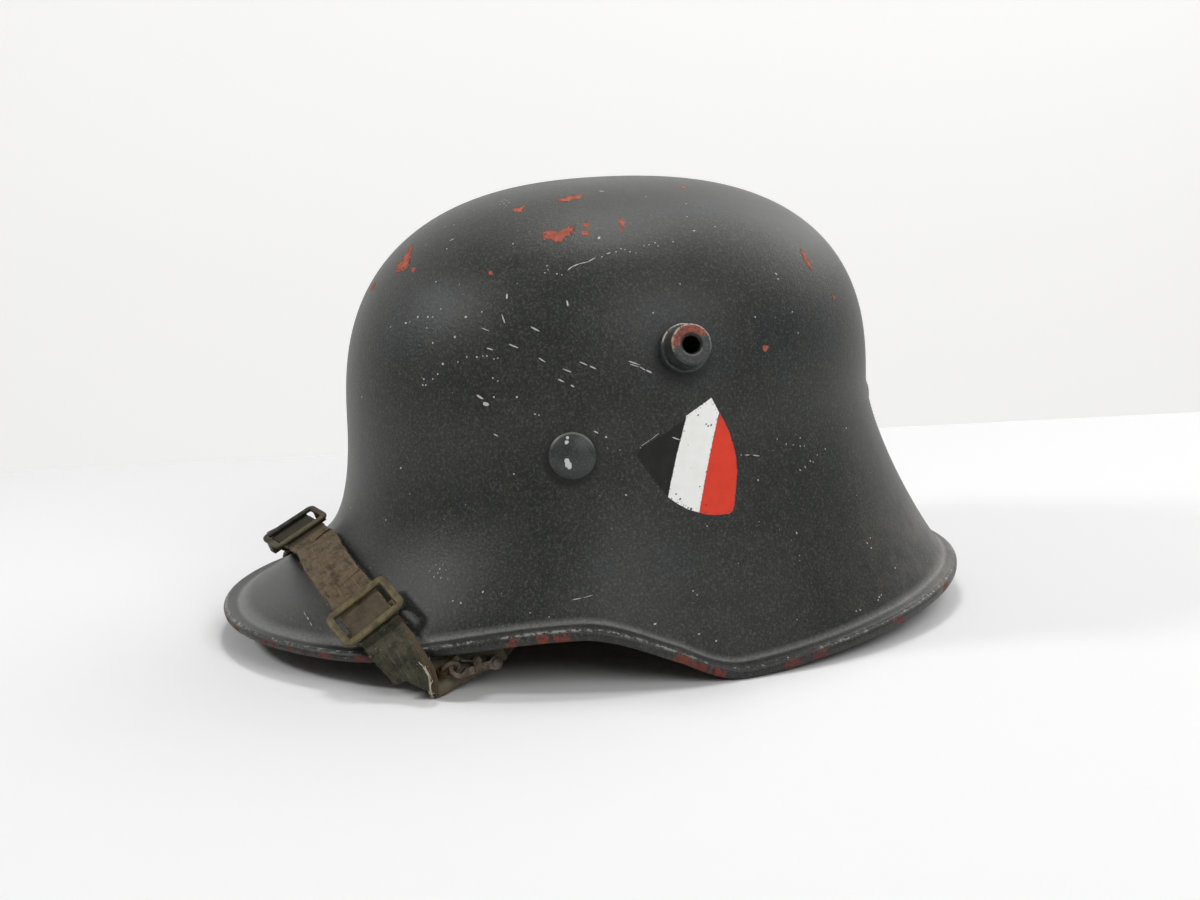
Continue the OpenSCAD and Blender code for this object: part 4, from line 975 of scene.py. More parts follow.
def lug_look(side):
    """Dark paint, worn to the red primer on the upper half of the lug's face."""
    look, colour, rough = dark_part_look("lug_paint_left" if side > 0 else "lug_paint_right")
    flip = np.array([side, 1, 1])
    face, axis = (LUG_AT + LUG_AXIS * 11) * flip, LUG_AXIS * flip
    up = unit(np.array([0, 0, 1]) - axis * axis[2])
    front = np.cross(axis, up) * side
    local = look.vector("SUBTRACT", look.place, face)
    depth, height, ahead = (look.vector("DOT_PRODUCT", local, v) for v in (axis, up, front))
    r = look.math("SQRT", look.plus(look.times(height, height), look.times(ahead, ahead)))
    rag = look.noise(1.1, 4, 0.7, seed=22)
    worn = look.plus(height, look.times(rag, 5))
    on_face = look.fade(depth, -1.6, -0.5)
    # Red primer on the upper half of the face
    bare = look.times(look.fade(look.plus(worn, look.times(ahead, 0.25)), 3.0, 5.0), on_face,
                      look.fade(r, 3.4, 3.9), look.fade(look.noise(1.3, 4, 0.75, seed=31), 0.38, 0.5))
    tone = look.blend(look.fade(rag, 0.4, 0.7), srgb(126, 62, 46), srgb(170, 96, 70))
    colour = look.blend(bare, colour, tone)
    # The sunk ring round the bore, painted dark as shade, with a painted highlight on its lower side
    sunk = look.times(look.flip(look.fade(r, 4.3, 4.7)), on_face)
    colour = look.coat(colour, (24, 24, 22), sunk, 0.8)
    painted_highlight_ring = look.times(look.fade(r, 3.7, 4.0), look.flip(look.fade(r, 4.3, 4.6)),
                     look.flip(look.fade(height, -2.6, -1.2)))
    colour = look.coat(colour, (120, 120, 114), painted_highlight_ring, on_face, 0.6)
    # Pale rubbed edges of the drum and of the base ring
    edge = look.times(look.fade(r, 6.9, 7.3), look.fade(depth, -1.3, -0.5), look.fade(worn, -0.5, 2.5))
    rim = look.times(look.fade(r, 8.5, 8.9), look.fade(depth, -8.9, -8.2), look.fade(worn, 4.5, 6.5))
    colour = look.coat(colour, (176, 164, 148), look.most(edge, rim), look.fade(rag, 0.42, 0.56))
    # The bore, painted near black as shade
    bore_shade = look.times(look.flip(look.fade(r, 3.2, 3.5)), look.flip(look.fade(depth, -1.4, -0.6)))
    colour = look.coat(colour, (14, 14, 14), bore_shade)
    return look.finish(colour, look.most(rough, look.times(bare, 0.7)))


def pin_look():
    """The shell's paint, a little lighter, with a painted highlight along the head's upper edge, and the left
    pin's chips: across, up and size.
    """
    look, colour, rough = dark_part_look("pin_paint")
    colour = look.coat(colour, (70, 74, 76), 0.35)
    centre, across, up, _ = flat_at(PIN_AT + PIN_OUT * 3.6, PIN_OUT)
    # Painted highlight: a pale arc along the upper edge of the pin's head
    arc = look.times(look.fade(look.distance(centre), 8.1, 8.9),
                     look.flip(look.fade(look.distance(centre + up * 9), 7, 12)))
    colour = look.coat(colour, (150, 152, 148), arc, 0.5)
    rag = look.noise(1.2, 4, 0.7, seed=23)
    for right, above, size in ((-1.8, -1.6, 0.9), (-1.4, -2.8, 1.15), (-1.0, -3.9, 0.75), (-1.5, 7.0, 0.6),
                               (-1.85, 5.3, 0.7)):
        sunk = PIN_OUT * (right ** 2 + above ** 2) / (2 * PIN_BALL)
        near = look.math("DIVIDE", size, look.distance(centre + across * right + up * above - sunk))
        colour = look.coat(colour, (206, 208, 206), look.fade(look.plus(near, rag), 1.35, 1.5))
    return look.finish(colour, rough)


def steel_look(name, base, rust, share, metal):
    """Bare or oiled steel, with rust on about that share of it."""
    look = Look(name, metal=metal, level=0.5)
    cloud = look.noise(6, 4, 0.6, seed=24)
    fine = look.noise(0.7, 4, 0.65, seed=25)
    start = 0.62 - share * 0.3
    mask = look.fade(look.plus(look.times(cloud, 0.65), look.times(fine, 0.35)), start, start + 0.12)
    tone = look.blend(look.fade(fine, 0.3, 0.8), base, scaled(base, 1.5))
    red = look.cloudy(1.6, 3, 0.6, 26, rust, scaled(rust, 1.7))
    look.bump((cloud, 0.1), (fine, 0.05))
    return look.finish(look.blend(mask, tone, red), look.span(mask, 0.42, 0.85))


def leather_look(name, base, dark, dust, seed, flesh):
    """Old leather, from the strap's attributes: along and across in mm, and face, 1 on the grain side."""
    look = Look(name, level=0.3)
    along, across, face = look.value("along"), look.value("across"), look.value("face")
    join = look.node("CombineXYZ")
    look.put(join.inputs[0], along)
    look.put(join.inputs[1], across)
    look.put(join.inputs[2], look.times(face, 3.0))
    flat = join.outputs[0]
    grain = look.noise(0.45, 4, 0.7, seed=seed, at=flat)
    cloud = look.noise(5, 4, 0.62, seed=seed + 1, at=flat)
    streak = look.noise(1.0, 3, 0.6, seed=seed + 2, at=look.stretched((0.14, 1, 1), flat))
    crease = look.noise(1.0, 3, 0.6, seed=seed + 3, at=look.stretched((1.1, 0.22, 1), flat), warp=0.6)
    colour = look.blend(look.fade(cloud, 0.35, 0.68), base, dark)
    colour = look.blend(look.times(look.fade(streak, 0.5, 0.72), 0.5), colour, dust)
    pores = look.fade(grain, 0.56, 0.7)
    colour = look.blend(look.times(pores, 0.55), colour, scaled(dark, 0.35))
    pale = look.fade(look.noise(0.6, 4, 0.7, seed=seed + 4, at=flat), 0.58, 0.7)
    colour = look.blend(look.times(pale, 0.4), colour, scaled(dust, 1.7))
    off_middle = look.math("ABSOLUTE", look.math("SUBTRACT", crease, 0.5))
    crack = look.times(look.flip(look.fade(off_middle, 0.012, 0.03)), look.fade(cloud, 0.5, 0.6))
    colour = look.coat(colour, (22, 18, 14), crack, 0.8)
    back = look.flip(look.fade(face, -0.4, 0.2))
    colour = look.blend(look.times(back, 0.8), colour, flesh)
    look.bump((cloud, 0.25), (crease, 0.12), (grain, 0.12))
    return look, colour, along, across


# Straps, swept along the same stations as in the CAD part

def cross_of(g, t):
    return unit(np.cross(g, t))


CROOK_AT = np.array([98.6, -71.3, 10.2])
HOOK_X = unit([-5, 17, 2])
HOOK_FACE = np.array([0.93, 0.25, 0.25])
HOOK_Z = unit(HOOK_FACE - HOOK_X * (HOOK_FACE @ HOOK_X))
HOOK_Y = np.cross(HOOK_Z, HOOK_X)
FLAP_Z = -4.75
STRAP_W, STRAP_T, TAB_W, LEATHER_GAP = 18.0, 2.0, 14.0, 0.3
TAB_Z = FLAP_Z - STRAP_T / 2 - LEATHER_GAP - STRAP_T / 2
LAYER = STRAP_T + LEATHER_GAP
BIG_MID, BIG_UP = np.array([79.6, -101.2, 26.4]), unit([-0.86, -0.35, 0.37])
BIG_FACE = np.array([0.49, -0.42, 0.76])
SMALL_MID, SMALL_UP = np.array([-2.7, -122.3, 41.7]), unit([-0.9, -0.4, 0.11])
SMALL_FACE = np.array([0.32, -0.3, 0.9])
BIG_W = cross_of(BIG_FACE, BIG_UP)
BIG_N = np.cross(BIG_UP, BIG_W)
SMALL_W = cross_of(SMALL_FACE, SMALL_UP)
SMALL_N = np.cross(SMALL_UP, SMALL_W)
BIG_CLEAR, SMALL_CLEAR = 19.0, 14.75
# Buckles: width inside, length and width of the bar, and the thickness of the frame and of the bar below
BIG_SIZE, SMALL_SIZE = (21.5, 20, 3.2), (20.5, 14.5, 2.6)
FRAME_T, BAR_T, POST_HALF, BAR_GAP = 1.6, 1.0, 2, 0.15
FOLD_MID = np.array([79.41, -33.21, 51.3])
FOLD_FACE = np.array([0.9384, -0.34555, 0])
FOLD_FOOT = FOLD_MID - np.array([0, 0, 3.2])
FOLD_OUTER, FOLD_INNER = 4.35, 2.65
FLIP = np.array([-1, 1, 1])


def hook_pt(x, y, z):
    return CROOK_AT + HOOK_X * x + HOOK_Y * y + HOOK_Z * z


def big_pt(d, lift=0.0):
    return (BIG_MID + BIG_UP * d + BIG_N * lift, BIG_N)


def small_pt(d):
    return (SMALL_MID + SMALL_UP * d, SMALL_N)


NEAR_ROUTE = [
    (hook_pt(19.5, 5.4, FLAP_Z), -HOOK_Z), (hook_pt(12, 3.8, FLAP_Z), -HOOK_Z),
    (hook_pt(4, 2.2, FLAP_Z), -HOOK_Z), (hook_pt(-4, 1.2, FLAP_Z), [-0.85, -0.3, -0.4]),
    ([97.2, -85.6, 4.8], [-0.2, -0.36, -0.85]),
    ([102.8, -87.6, 9], [0.8, -0.55, -0.15]), ([100.5, -91, 14.5], [0.88, -0.48, 0.15]),
] + [big_pt(d) for d in (-17, -11, -4, 5, 12, BIG_CLEAR)]
FAR_ROUTE = [big_pt(d, LAYER) for d in (-7, 1, 10, BIG_CLEAR, BIG_CLEAR + 4)] + [
    ([39, -114, 39.6], [0.42, -0.42, 0.8])
] + [small_pt(d) for d in (-SMALL_CLEAR - 3, -SMALL_CLEAR, -5, 3, 7.5, 8.7)] + [
    ([-15, -124.5, 39.5], [-0.6, -0.35, 0.75]), ([-26, -120.5, 33], [-0.5, -0.4, 0.75]),
    ([-52, -118, 26.5], [-0.4, -0.5, 0.75]), ([-72, -114.5, 21.5], [-0.45, -0.55, 0.7]),
    ([-80.8, -120.3, 13.5], [-0.6, -0.8, 0]), ([-75.5, -112.5, 6.5], [-0.1, -0.15, -0.98]),
    ([-72, -92, 14], [0.3, 0.4, -0.85]), ([-75, -62, 24], [0.7, 0.4, -0.6]),
    ((FOLD_FOOT - [0, 3, 12]) * FLIP, -FOLD_FACE * FLIP), (FOLD_FOOT * FLIP, -FOLD_FACE * FLIP)]
TAB_ROUTE = [
    (hook_pt(12, 2, TAB_Z), HOOK_Z), (hook_pt(17, 3, TAB_Z), HOOK_Z), (hook_pt(22, 5, TAB_Z), HOOK_Z),
    ([84.5, -44, 25], [0.95, 0.05, -0.1]), (FOLD_FOOT - [0, 2, 10], FOLD_FACE), (FOLD_FOOT, FOLD_FACE)
]


class Band:
    """A strap along a route of points and facings: its middle line, directions and points on its faces."""

    def __init__(self, route):
        self.mid, facing = (catmull([row[k] for row in route], 14) for k in (0, 1))
        n = len(self.mid)
        ahead = np.array([self.mid[min(i + 1, n - 1)] - self.mid[max(i - 1, 0)] for i in range(n)])
        self.ahead = unit(ahead)
        self.side = unit(np.cross(facing, self.ahead))
        self.out = np.cross(self.ahead, self.side)
        self.run = np.concatenate([[0], np.cumsum(np.linalg.norm(np.diff(self.mid, axis=0), axis=1))])

    def at(self, run, across, lift):
        def pick(rows):
            return np.array([np.interp(run, self.run, rows[:, k]) for k in range(3)])
        return pick(self.mid) + pick(self.side) * across + pick(self.out) * lift


def smooth_noise(count, scale, seed):
    """A gently changing random line of that many values, about -1 to 1."""
    local = np.random.default_rng(seed)
    knots = local.normal(0, 0.5, max(4, int(count / scale) + 4))
    return np.interp(np.linspace(0, len(knots) - 1, count), np.arange(len(knots)), knots)


def strap_mesh(name, band, width, thick, material, seed, fray, low=-math.inf):
    """A leather strap with worn round edges, never under the height low. Its section is a loop of points,
    given as a place across and a face, or as the right or left edge and an angle."""
    n = len(band.mid)
    flat, arc = np.linspace(-1, 1, 15)[1:-1], np.radians([70, 35, 0, -35, -70])
    loop = [(x, 1.0) for x in flat] + [("right", a) for a in arc]
    loop += [(x, -1.0) for x in flat[::-1]] + [("left", a) for a in arc[::-1]]

    def frayed(k):
        return (smooth_noise(n, 6, seed + k) * fray * 0.6
                + np.random.default_rng(seed + k + 1).normal(0, fray * 0.25, n) + width / 2 - 0.15)

    left, right, wave = frayed(0), frayed(2), smooth_noise(n, 9, seed + 4) * 0.12
    verts, along, across, face = [], [], [], []
    for i, run in enumerate(band.run):
        thin = thick / 2 * (0.82 if min(run, band.run[-1] - run) < 0.5 else 1)
        for place, v in loop:
            if isinstance(place, str):
                half, way = (right[i], 1) if place == "right" else (left[i], -1)
                x, h = way * (half - thin * 0.7 + math.cos(v) * thin * 0.7), math.sin(v) * thin
            else:
                x = place * ((right[i] if place > 0 else left[i]) - thin * 0.6)
                h = v * thin + (wave[i] * (1 - place * place) if v > 0 else 0)
            p = band.mid[i] + band.side[i] * x + band.out[i] * h
            verts.append([p[0], p[1], max(p[2], low)])
            along.append(run)
            across.append(x)
            face.append(h / thin)
    m = len(loop)
    faces = grid_faces(n, m, True) + [tuple(range(m))[::-1], tuple((n - 1) * m + k for k in range(m))]
    return new_mesh(name, verts, faces, material, values={"along": along, "across": across, "face": face})


def fold_mesh(name, side, width, material):
    """The end of a strap, folded round the ring's lower bar: a rolled sheet with a lap on its inner side."""
    up = np.array([0, 0, 1])
    axis, cols = np.cross(up, FOLD_FACE), 9
    turns = np.radians(np.linspace(-95, 265, 46))
    verts, along, across, face = [], [], [], []
    for radius, grain in ((FOLD_OUTER, 1), (FOLD_INNER, -1)):
        for k, t in enumerate(turns):
            for x in np.linspace(-1, 1, cols) * width / 2:
                p = FOLD_MID + (FOLD_FACE * math.cos(t) + up * math.sin(t)) * radius + axis * x
                verts.append(p * [side, 1, 1])
                along.append(k * 0.6)
                across.append(x)
                face.append(grain)
    faces = closed_sheet(len(turns), cols)
    if side < 0:
        faces = flipped(faces)
    return new_mesh(name, verts, faces, material, values={"along": along, "across": across, "face": face})


def stitch(band, run, across, length, slant, radius):
    """One stitch that dips into the leather at both ends."""
    rise, dip = 0.34, 0.18
    pts = [band.at(run + length * (f - 0.5), across + slant * (f - 0.5),
                   STRAP_T / 2 + rise * math.sin(math.pi * f) - dip) for f in np.linspace(0, 1, 7)]
    return tube(pts, radius * np.array([0.6, 0.9, 1, 1, 1, 0.9, 0.6]), 6)


def near_leather():
    look, colour, _, across = leather_look("leather_grey", srgb(70, 68, 53), srgb(48, 46, 35),
                                           srgb(96, 92, 76), 30, srgb(122, 115, 96))
    brown = look.fade(look.math("SUBTRACT", look.times(look.noise(2, 3, 0.6, seed=38), 4), across), 8.0, 11.0)
    colour = look.coat(colour, (88, 66, 48), brown, 0.7)
    speck = look.times(look.flip(look.fade(look.cells(1.5, seed=7), 0.06, 0.12)),
                       look.fade(look.noise(3, 2, 0.5, seed=39), 0.56, 0.62))
    colour = look.coat(colour, (206, 202, 190), speck)
    return look.finish(colour, 0.78)


def far_leather():
    look, colour, along, across = leather_look("leather_brown", srgb(102, 87, 67), srgb(70, 59, 44),
                                               srgb(128, 112, 88), 50, srgb(58, 48, 36))
    inside = look.flip(look.fade(along, 12.5, 15.5))
    colour = look.coat(colour, (66, 60, 46), inside, 0.6)
    # Darker where the strap runs through the small buckle: painted shade under its frame
    under = look.times(look.fade(along, 85, 88), look.flip(look.fade(along, 102, 106)))
    colour = look.coat(colour, (42, 41, 34), under, 0.85)
    old = look.fade(along, 104, 110)
    colour = look.coat(colour, (62, 54, 40), old, 0.6)
    fuzz = look.times(look.fade(look.math("ABSOLUTE", across), 7.6, 9.0),
                      look.fade(look.noise(0.9, 3, 0.6, seed=58), 0.5, 0.6))
    colour = look.coat(colour, (150, 138, 112), fuzz, 0.7)
    return look.finish(colour, 0.8)


def add_straps():
    grey, brown = near_leather(), far_leather()
    near, far, tab = Band(NEAR_ROUTE), Band(FAR_ROUTE), Band(TAB_ROUTE)
    lower = strap_mesh("strap_lower", near, STRAP_W, STRAP_T, grey, 101, 0.28, low=0.05)
    put_on(lower, BODY, "strap_leather_grey", "chinstrap_near")
    upper = strap_mesh("strap_upper", far, STRAP_W, STRAP_T, brown, 202, 0.34)
    put_on(upper, BODY, "strap_leather_brown", "chinstrap_far")
    put_on(fold_mesh("strap_upper_fold", -1, STRAP_W - 1, brown), BODY, "strap_leather_brown")
    tab = strap_mesh("strap_tab", tab, TAB_W, STRAP_T, brown, 303, 0.2)
    put_on(tab, BODY, "strap_leather_brown", "strap_tab_left")
    put_on(fold_mesh("strap_tab_fold", 1, TAB_W, brown), BODY, "strap_leather_brown")
    add_stitches(near)
    add_fibres(near, far)


def add_stitches(near):
    """A row of old stitches and a tangle of pale thread, near the upper end of the lower strap."""
    thread = Look("thread_pale", rough=0.8, level=0.2)
    tone = thread.blend(thread.noise(1.2, 3, 0.6, seed=60), srgb(150, 140, 118), srgb(226, 222, 210))
    thread.bump((thread.noise(0.3, 2, 0.5, seed=61), 0.05))
    pale = thread.finish(tone)
    old = Look("thread_old", rough=0.85, level=0.2)
    dull = old.finish(old.blend(old.noise(1.2, 3, 0.6, seed=62), srgb(84, 62, 44), srgb(120, 96, 70)))
    top = near.run[-1] - 37
    parts = [stitch(near, run, -7.4 - 0.15 * math.sin(run * 7), 2.0, 0.2, 0.24)
             for run in np.arange(top - 15, top, 2.9)]
    put_on(new_mesh("stitches_old", *merge(parts), dull), BODY, "strap_leather_grey")
    parts = [stitch(near, run, -6.0 - 0.4 * math.sin(run * 5), 2.2, 0.9, 0.34)
             for run in np.arange(top - 29, top - 13, 2.4)]
    local = np.random.default_rng(11)
    for k in range(9):
        run = top - 28 + k * 1.7 + local.uniform(-0.5, 0.5)
        side = -6.6 + local.uniform(-0.9, 0.9)
        pts = [near.at(run + f * 3.2 + local.uniform(-0.3, 0.3), side + f * local.uniform(-1, 1.4),
                       STRAP_T / 2 + 0.2 + 0.8 * math.sin(math.pi * f)) for f in np.linspace(0, 1, 6)]
        parts.append(tube(catmull(pts, 3), 0.14, 5))
    put_on(new_mesh("stitches_pale", *merge(parts), pale), BODY, "strap_leather_grey")


def add_fibres(near, far):
    """Loose fibres along the torn edges."""
    look = Look("leather_fibres", rough=0.9, level=0.1)
    tone = look.blend(look.noise(1.5, 2, 0.5, seed=63), srgb(96, 84, 64), srgb(176, 164, 138))
    local = np.random.default_rng(12)
    parts = []
    for band, first, last, count in ((near, 6.0, near.run[-1] - 10, 90), (far, 14.0, 78.0, 120)):
        for _ in range(count):
            run, side = local.uniform(first, last), local.choice([-1, 1])
            reach, lean = local.uniform(0.3, 1.1), local.uniform(-0.8, 0.8)
            pts = [band.at(run + lean * f, side * (STRAP_W / 2 - 0.4 + reach * f),
                           local.uniform(-0.1, 0.1) + 0.5 * side * lean * f) for f in (0, 0.35, 0.7, 1)]
            if min(p[2] for p in pts) > 0.3:
                parts.append(tube(pts, np.array([0.1, 0.08, 0.06, 0.03]), 4))
    put_on(new_mesh("leather_fibres", *merge(parts), look.finish(tone)), BODY, "strap_leather_brown")


# Buckles

PER_CORNER, PER_SIDE = 8, 10


def rounded_loop(w, l, r):
    """Points round a rounded rectangle, with the outward direction at each."""
    pts, outs = [], []
    corners = [(x * (w / 2 - r), y * (l / 2 - r), start)
               for x, y, start in ((1, 1, 0), (-1, 1, 90), (-1, -1, 180), (1, -1, 270))]
    for k, (cx, cy, start) in enumerate(corners):
        for j in range(PER_CORNER + 1):
            a = math.radians(start + 90 * j / PER_CORNER)
            pts.append((cx + r * math.cos(a), cy + r * math.sin(a)))
            outs.append((math.cos(a), math.sin(a)))
        nx, ny, _ = corners[(k + 1) % 4]
        p, q = np.array(pts[-1]), np.array([nx + r * math.cos(a), ny + r * math.sin(a)])
        for j in range(1, PER_SIDE):
            pts.append(tuple(p + (q - p) * j / PER_SIDE))
            outs.append((math.cos(a), math.sin(a)))
    return np.array(pts), np.array(outs)


def frame_part(in_w, length, bar, lift, seed):
    """A buckle's frame: a flat bar with well rounded edges, swept round a rounded rectangle."""
    w = in_w + 2 * bar
    pts, outs = rounded_loop(w - bar, length - bar, bar * 0.62)
    turns = np.linspace(0, 2 * math.pi, 20, endpoint=False)
    section = [[math.copysign(abs(v) ** 0.6, v) for v in (math.cos(t), math.sin(t))] for t in turns]
    wobble = smooth_noise(len(pts), 5, seed) * 0.12
    wobble *= np.sin(np.linspace(0, math.pi, len(pts)))
    verts = []
    for p, o, d in zip(pts, outs, wobble):
        for x, z in section:
            q = p + o * (x * bar / 2 + d * 0.6)
            verts.append((q[0], q[1], lift + FRAME_T / 2 + z * FRAME_T / 2 + d * 0.5))
    return verts, grid_faces(len(pts), len(section), True, True)


def box_part(low, high):
    """A bar with rounded long edges, along X or Z."""
    soft = 0.25
    low, high = np.array(low, float), np.array(high, float)
    size, mid = high - low, (high + low) / 2
    axis = int(np.argmax(size))
    others = [k for k in range(3) if k != axis]
    ring = []
    for sx, sy in ((1, 1), (-1, 1), (-1, -1), (1, -1)):
        for a in ((0, 45, 90) if sx * sy > 0 else (90, 45, 0)):
            c, s = math.cos(math.radians(a)), math.sin(math.radians(a))
            ring.append([way * (size[k] / 2 - soft + soft * v)
                         for way, k, v in zip((sx, sy), others, (c, s))])
    verts = []
    for end, shrink in ((-1, 0.9), (-0.97, 1), (0.97, 1), (1, 0.9)):
        for x, y in ring:
            p = np.zeros(3)
            p[axis] = mid[axis] + end * size[axis] / 2
            p[others[0]], p[others[1]] = mid[others[0]] + x * shrink, mid[others[1]] + y * shrink
            verts.append(p)
    n = len(ring)
    faces = grid_faces(4, n, True) + [tuple(range(n))[::-1], tuple(3 * n + k for k in range(n))]
    return verts, flipped(faces) if axis == 1 else faces


def buckle_mesh(name, mid, w_dir, normal, size, stack, material, seed):
    """A frame over the strap and a bar under it, joined by two posts. stack is the leather between them."""
    in_w, length, bar = size
    foot, lift = -STRAP_T / 2 - BAR_GAP - BAR_T, stack - STRAP_T / 2 + LEATHER_GAP
    w = in_w + 2 * bar
    parts = [frame_part(in_w, length, bar, lift, seed),
             box_part((-w / 2, -POST_HALF, foot), (w / 2, POST_HALF, foot + BAR_T))]
    for side in (-1, 1):
        x = side * (in_w + bar) / 2
        parts.append(box_part((x - bar / 2, -POST_HALF, foot), (x + bar / 2, POST_HALF, lift + 0.5)))
    verts, faces = merge(parts)
    verts = [mid + w_dir * p[0] + np.cross(normal, w_dir) * p[1] + normal * p[2] for p in verts]
    return new_mesh(name, verts, faces, material)


def brass_look():
    look = Look("olive_brass", metal=0.35, level=0.5)
    cloud = look.noise(3.2, 4, 0.6, seed=64)
    fine = look.noise(0.6, 4, 0.7, seed=65)
    tone = look.blend(look.fade(cloud, 0.36, 0.66), srgb(104, 91, 56), srgb(70, 62, 42))
    tone = look.coat(tone, (48, 42, 28), look.fade(fine, 0.5, 0.72), 0.6)
    sharp = look.node("NewGeometry").outputs["Pointiness"]
    bright = look.fade(look.plus(sharp, look.times(fine, 0.05)), 0.53, 0.56)
    tone = look.coat(tone, (158, 142, 96), bright, 0.7)
    look.bump((cloud, 0.12), (fine, 0.06))
    return look.finish(tone, look.span(cloud, 0.42, 0.62))


def dark_buckle_look():
    look = Look("dark_steel", metal=0.4, level=0.5)
    cloud = look.noise(2.6, 4, 0.6, seed=66)
    fine = look.noise(0.5, 4, 0.7, seed=67)
    tone = look.blend(look.fade(cloud, 0.36, 0.66), srgb(50, 49, 42), srgb(28, 27, 23))
    lower = look.fade(look.plus(look.distance(SMALL_MID + SMALL_UP * 14), look.times(fine, 2)), 18.0, 21.5)
    tone = look.coat(tone, (98, 90, 62), lower, look.fade(fine, 0.36, 0.56), 0.9)
    from_end = look.plus(look.distance(SMALL_MID - SMALL_W * 13), look.times(fine, 6))
    rusty = look.flip(look.fade(from_end, 7, 10))
    tone = look.coat(tone, (70, 50, 38), rusty, 0.8)
    look.bump((cloud, 0.12), (fine, 0.06))
    return look.finish(tone, look.span(cloud, 0.45, 0.7))


def add_buckles():
    big = buckle_mesh("buckle_brass", BIG_MID, BIG_W, BIG_N, BIG_SIZE, STRAP_T + LAYER, brass_look(), 71)
    put_on(big, "large_buckle", "buckle_brass", "large_buckle")
    small = buckle_mesh("buckle_steel", SMALL_MID, SMALL_W, SMALL_N, SMALL_SIZE, STRAP_T,
                        dark_buckle_look(), 72)
    put_on(small, "small_buckle", "buckle_steel", "small_buckle")


# Liner: pads, cushions and lace, from the CAD part's formulas

BAND_Z, TIP_Z, TIP_R = 70.0, 148.0, 37.0
BAND_GAP, BAND_T, PAD_GAP, PAD_T = 1.6, 1.0, 0.15, 1.8
# v runs from 0 at a pad's foot to 1 at its tips. Up to PAD_FOOT the pad follows the band
PAD_FOOT, PAD_FOLD_Z, FINGER_TIP_HALF = 0.22, BAND_Z + 19, 8
CUSHION_FOOT, CUSHION_RISE, CUSHION_T = 0.36, 0.44, 9.0
# Where a finger's middle lies between the pad's middle and its edge
FINGER_SHARE = 0.52


def pad_mid(a, v):
    a, v = np.broadcast_arrays(np.asarray(a, float), np.asarray(v, float))
    p = skull_at(a, SHEET + BAND_GAP + BAND_T + PAD_GAP + PAD_T / 2)
    u = np.clip((v - PAD_FOOT) / (1 - PAD_FOOT), 0, None)
    w = np.clip(1 - np.cos(np.radians(90 * u)), 0, None) ** 0.75
    z = np.where(v < PAD_FOOT, BAND_Z + 1 + (PAD_FOLD_Z - BAND_Z - 1) * v / PAD_FOOT,
                 PAD_FOLD_Z + (TIP_Z - PAD_FOLD_Z) * np.sin(np.radians(90 * u)))
    q = TIP_R * np.stack([np.sin(np.radians(a)), -np.cos(np.radians(a))], -1)
    xy = p * (1 - w[..., None]) + q * w[..., None]
    return np.stack([xy[..., 0], xy[..., 1] + HEAD_Y, z], -1)


def pad_normal(a, v):
    e = 0.03
    along = pad_mid(a, np.clip(v - e, 0, None)) - pad_mid(a, np.clip(v + e, None, 1))
    return unit(np.cross(along, pad_mid(a - 2, v) - pad_mid(a + 2, v)))


def pad_angle(mid_a, half_a, side, f, v):
    """f is 0 at the pad's outer edge and 1 at the slit between its two fingers."""
    grow, finger = max(0, (v - 0.34) / 0.66), half_a * FINGER_SHARE
    round_off = math.sqrt(max(0, 1 - ((v - 0.93) / 0.075) ** 2)) if v > 0.93 else 1
    r = np.linalg.norm((pad_mid(mid_a + side * finger, v) - [0, HEAD_Y, 0])[:2])
    tip = math.degrees(FINGER_TIP_HALF / r) * (0.35 + 0.65 * round_off)
    outer = half_a + (finger + tip - half_a) * grow ** 1.7
    inner = 0.9 + (finger - tip - 0.9) * grow ** 2.2
    return mid_a + side * (outer + (inner - outer) * f)


def liner_leather():
    look = Look("liner_leather", level=0.35)
    cloud = look.noise(12, 4, 0.6, seed=80)
    grain = look.noise(0.6, 4, 0.7, seed=81)
    crease = look.noise(3.0, 4, 0.65, seed=82, warp=0.8)
    tone = look.blend(look.fade(cloud, 0.35, 0.7), srgb(128, 92, 58), srgb(92, 64, 40))
    tone = look.coat(tone, (64, 44, 28), look.fade(grain, 0.52, 0.7), 0.4)
    sweat = look.flip(look.fade(look.plus(look.axis(look.place, 2), look.times(cloud, 16)), 84, 98))
    tone = look.coat(tone, (56, 40, 28), sweat, 0.7)
    look.bump((cloud, 0.3), (crease, 0.15), (grain, 0.1))
    return look.finish(tone, look.span(cloud, 0.5, 0.72))


LACE_HOLE_V, LACE_HOLE_R, LACE_R = 0.93, 2.6, 1.0


def pad_mesh(name, mid_a, half_a, side, material):
    """A leather pad with a slit between its two fingers, as a closed sheet with rounded edges."""
    slit_row, cols, slit_v = 16, 13, 0.33
    vs = np.concatenate([np.linspace(0, slit_v, slit_row + 1),
                         slit_v + 0.67 * np.linspace(0, 1, 40)[1:] ** 0.9])
    parts = []
    for hand in (-1, 1):
        verts = []
        for face in (1, -1):
            for v in vs:
                for f in np.linspace(0, 1, cols):
                    whole = v <= slit_v
                    a = mid_a if whole and f == 1 else pad_angle(mid_a, half_a, hand, f, min(v, 0.9999))
                    edge = 1 - 0.35 * (max(0, abs(2 * f - 1) - 0.86) / 0.14 if not whole or f < 0.5 else 0)
                    sag = 0.35 * math.sin(9 * v + 2.1 * f + mid_a) * (0.34 < v < 0.9)
                    verts.append(pad_mid(a, v) + pad_normal(a, v) * (face * PAD_T / 2 * edge + sag))
        faces = closed_sheet(len(vs), cols, slit_row)
        parts.append((verts, flipped(faces) if hand < 0 else faces))
    verts, faces = merge(parts)
    piece = new_mesh(name, np.array(verts) * [side, 1, 1], flipped(faces) if side > 0 else faces, material)
    weld(piece, 0.02)
    return piece


def weld(piece, gap):
    """Joins the halves where they meet, and turns every face outwards."""
    work = bmesh.new()
    work.from_mesh(piece.data)
    bmesh.ops.remove_doubles(work, verts=work.verts, dist=gap * MM)
    bmesh.ops.recalc_face_normals(work, faces=work.faces)
    work.to_mesh(piece.data)
    work.free()


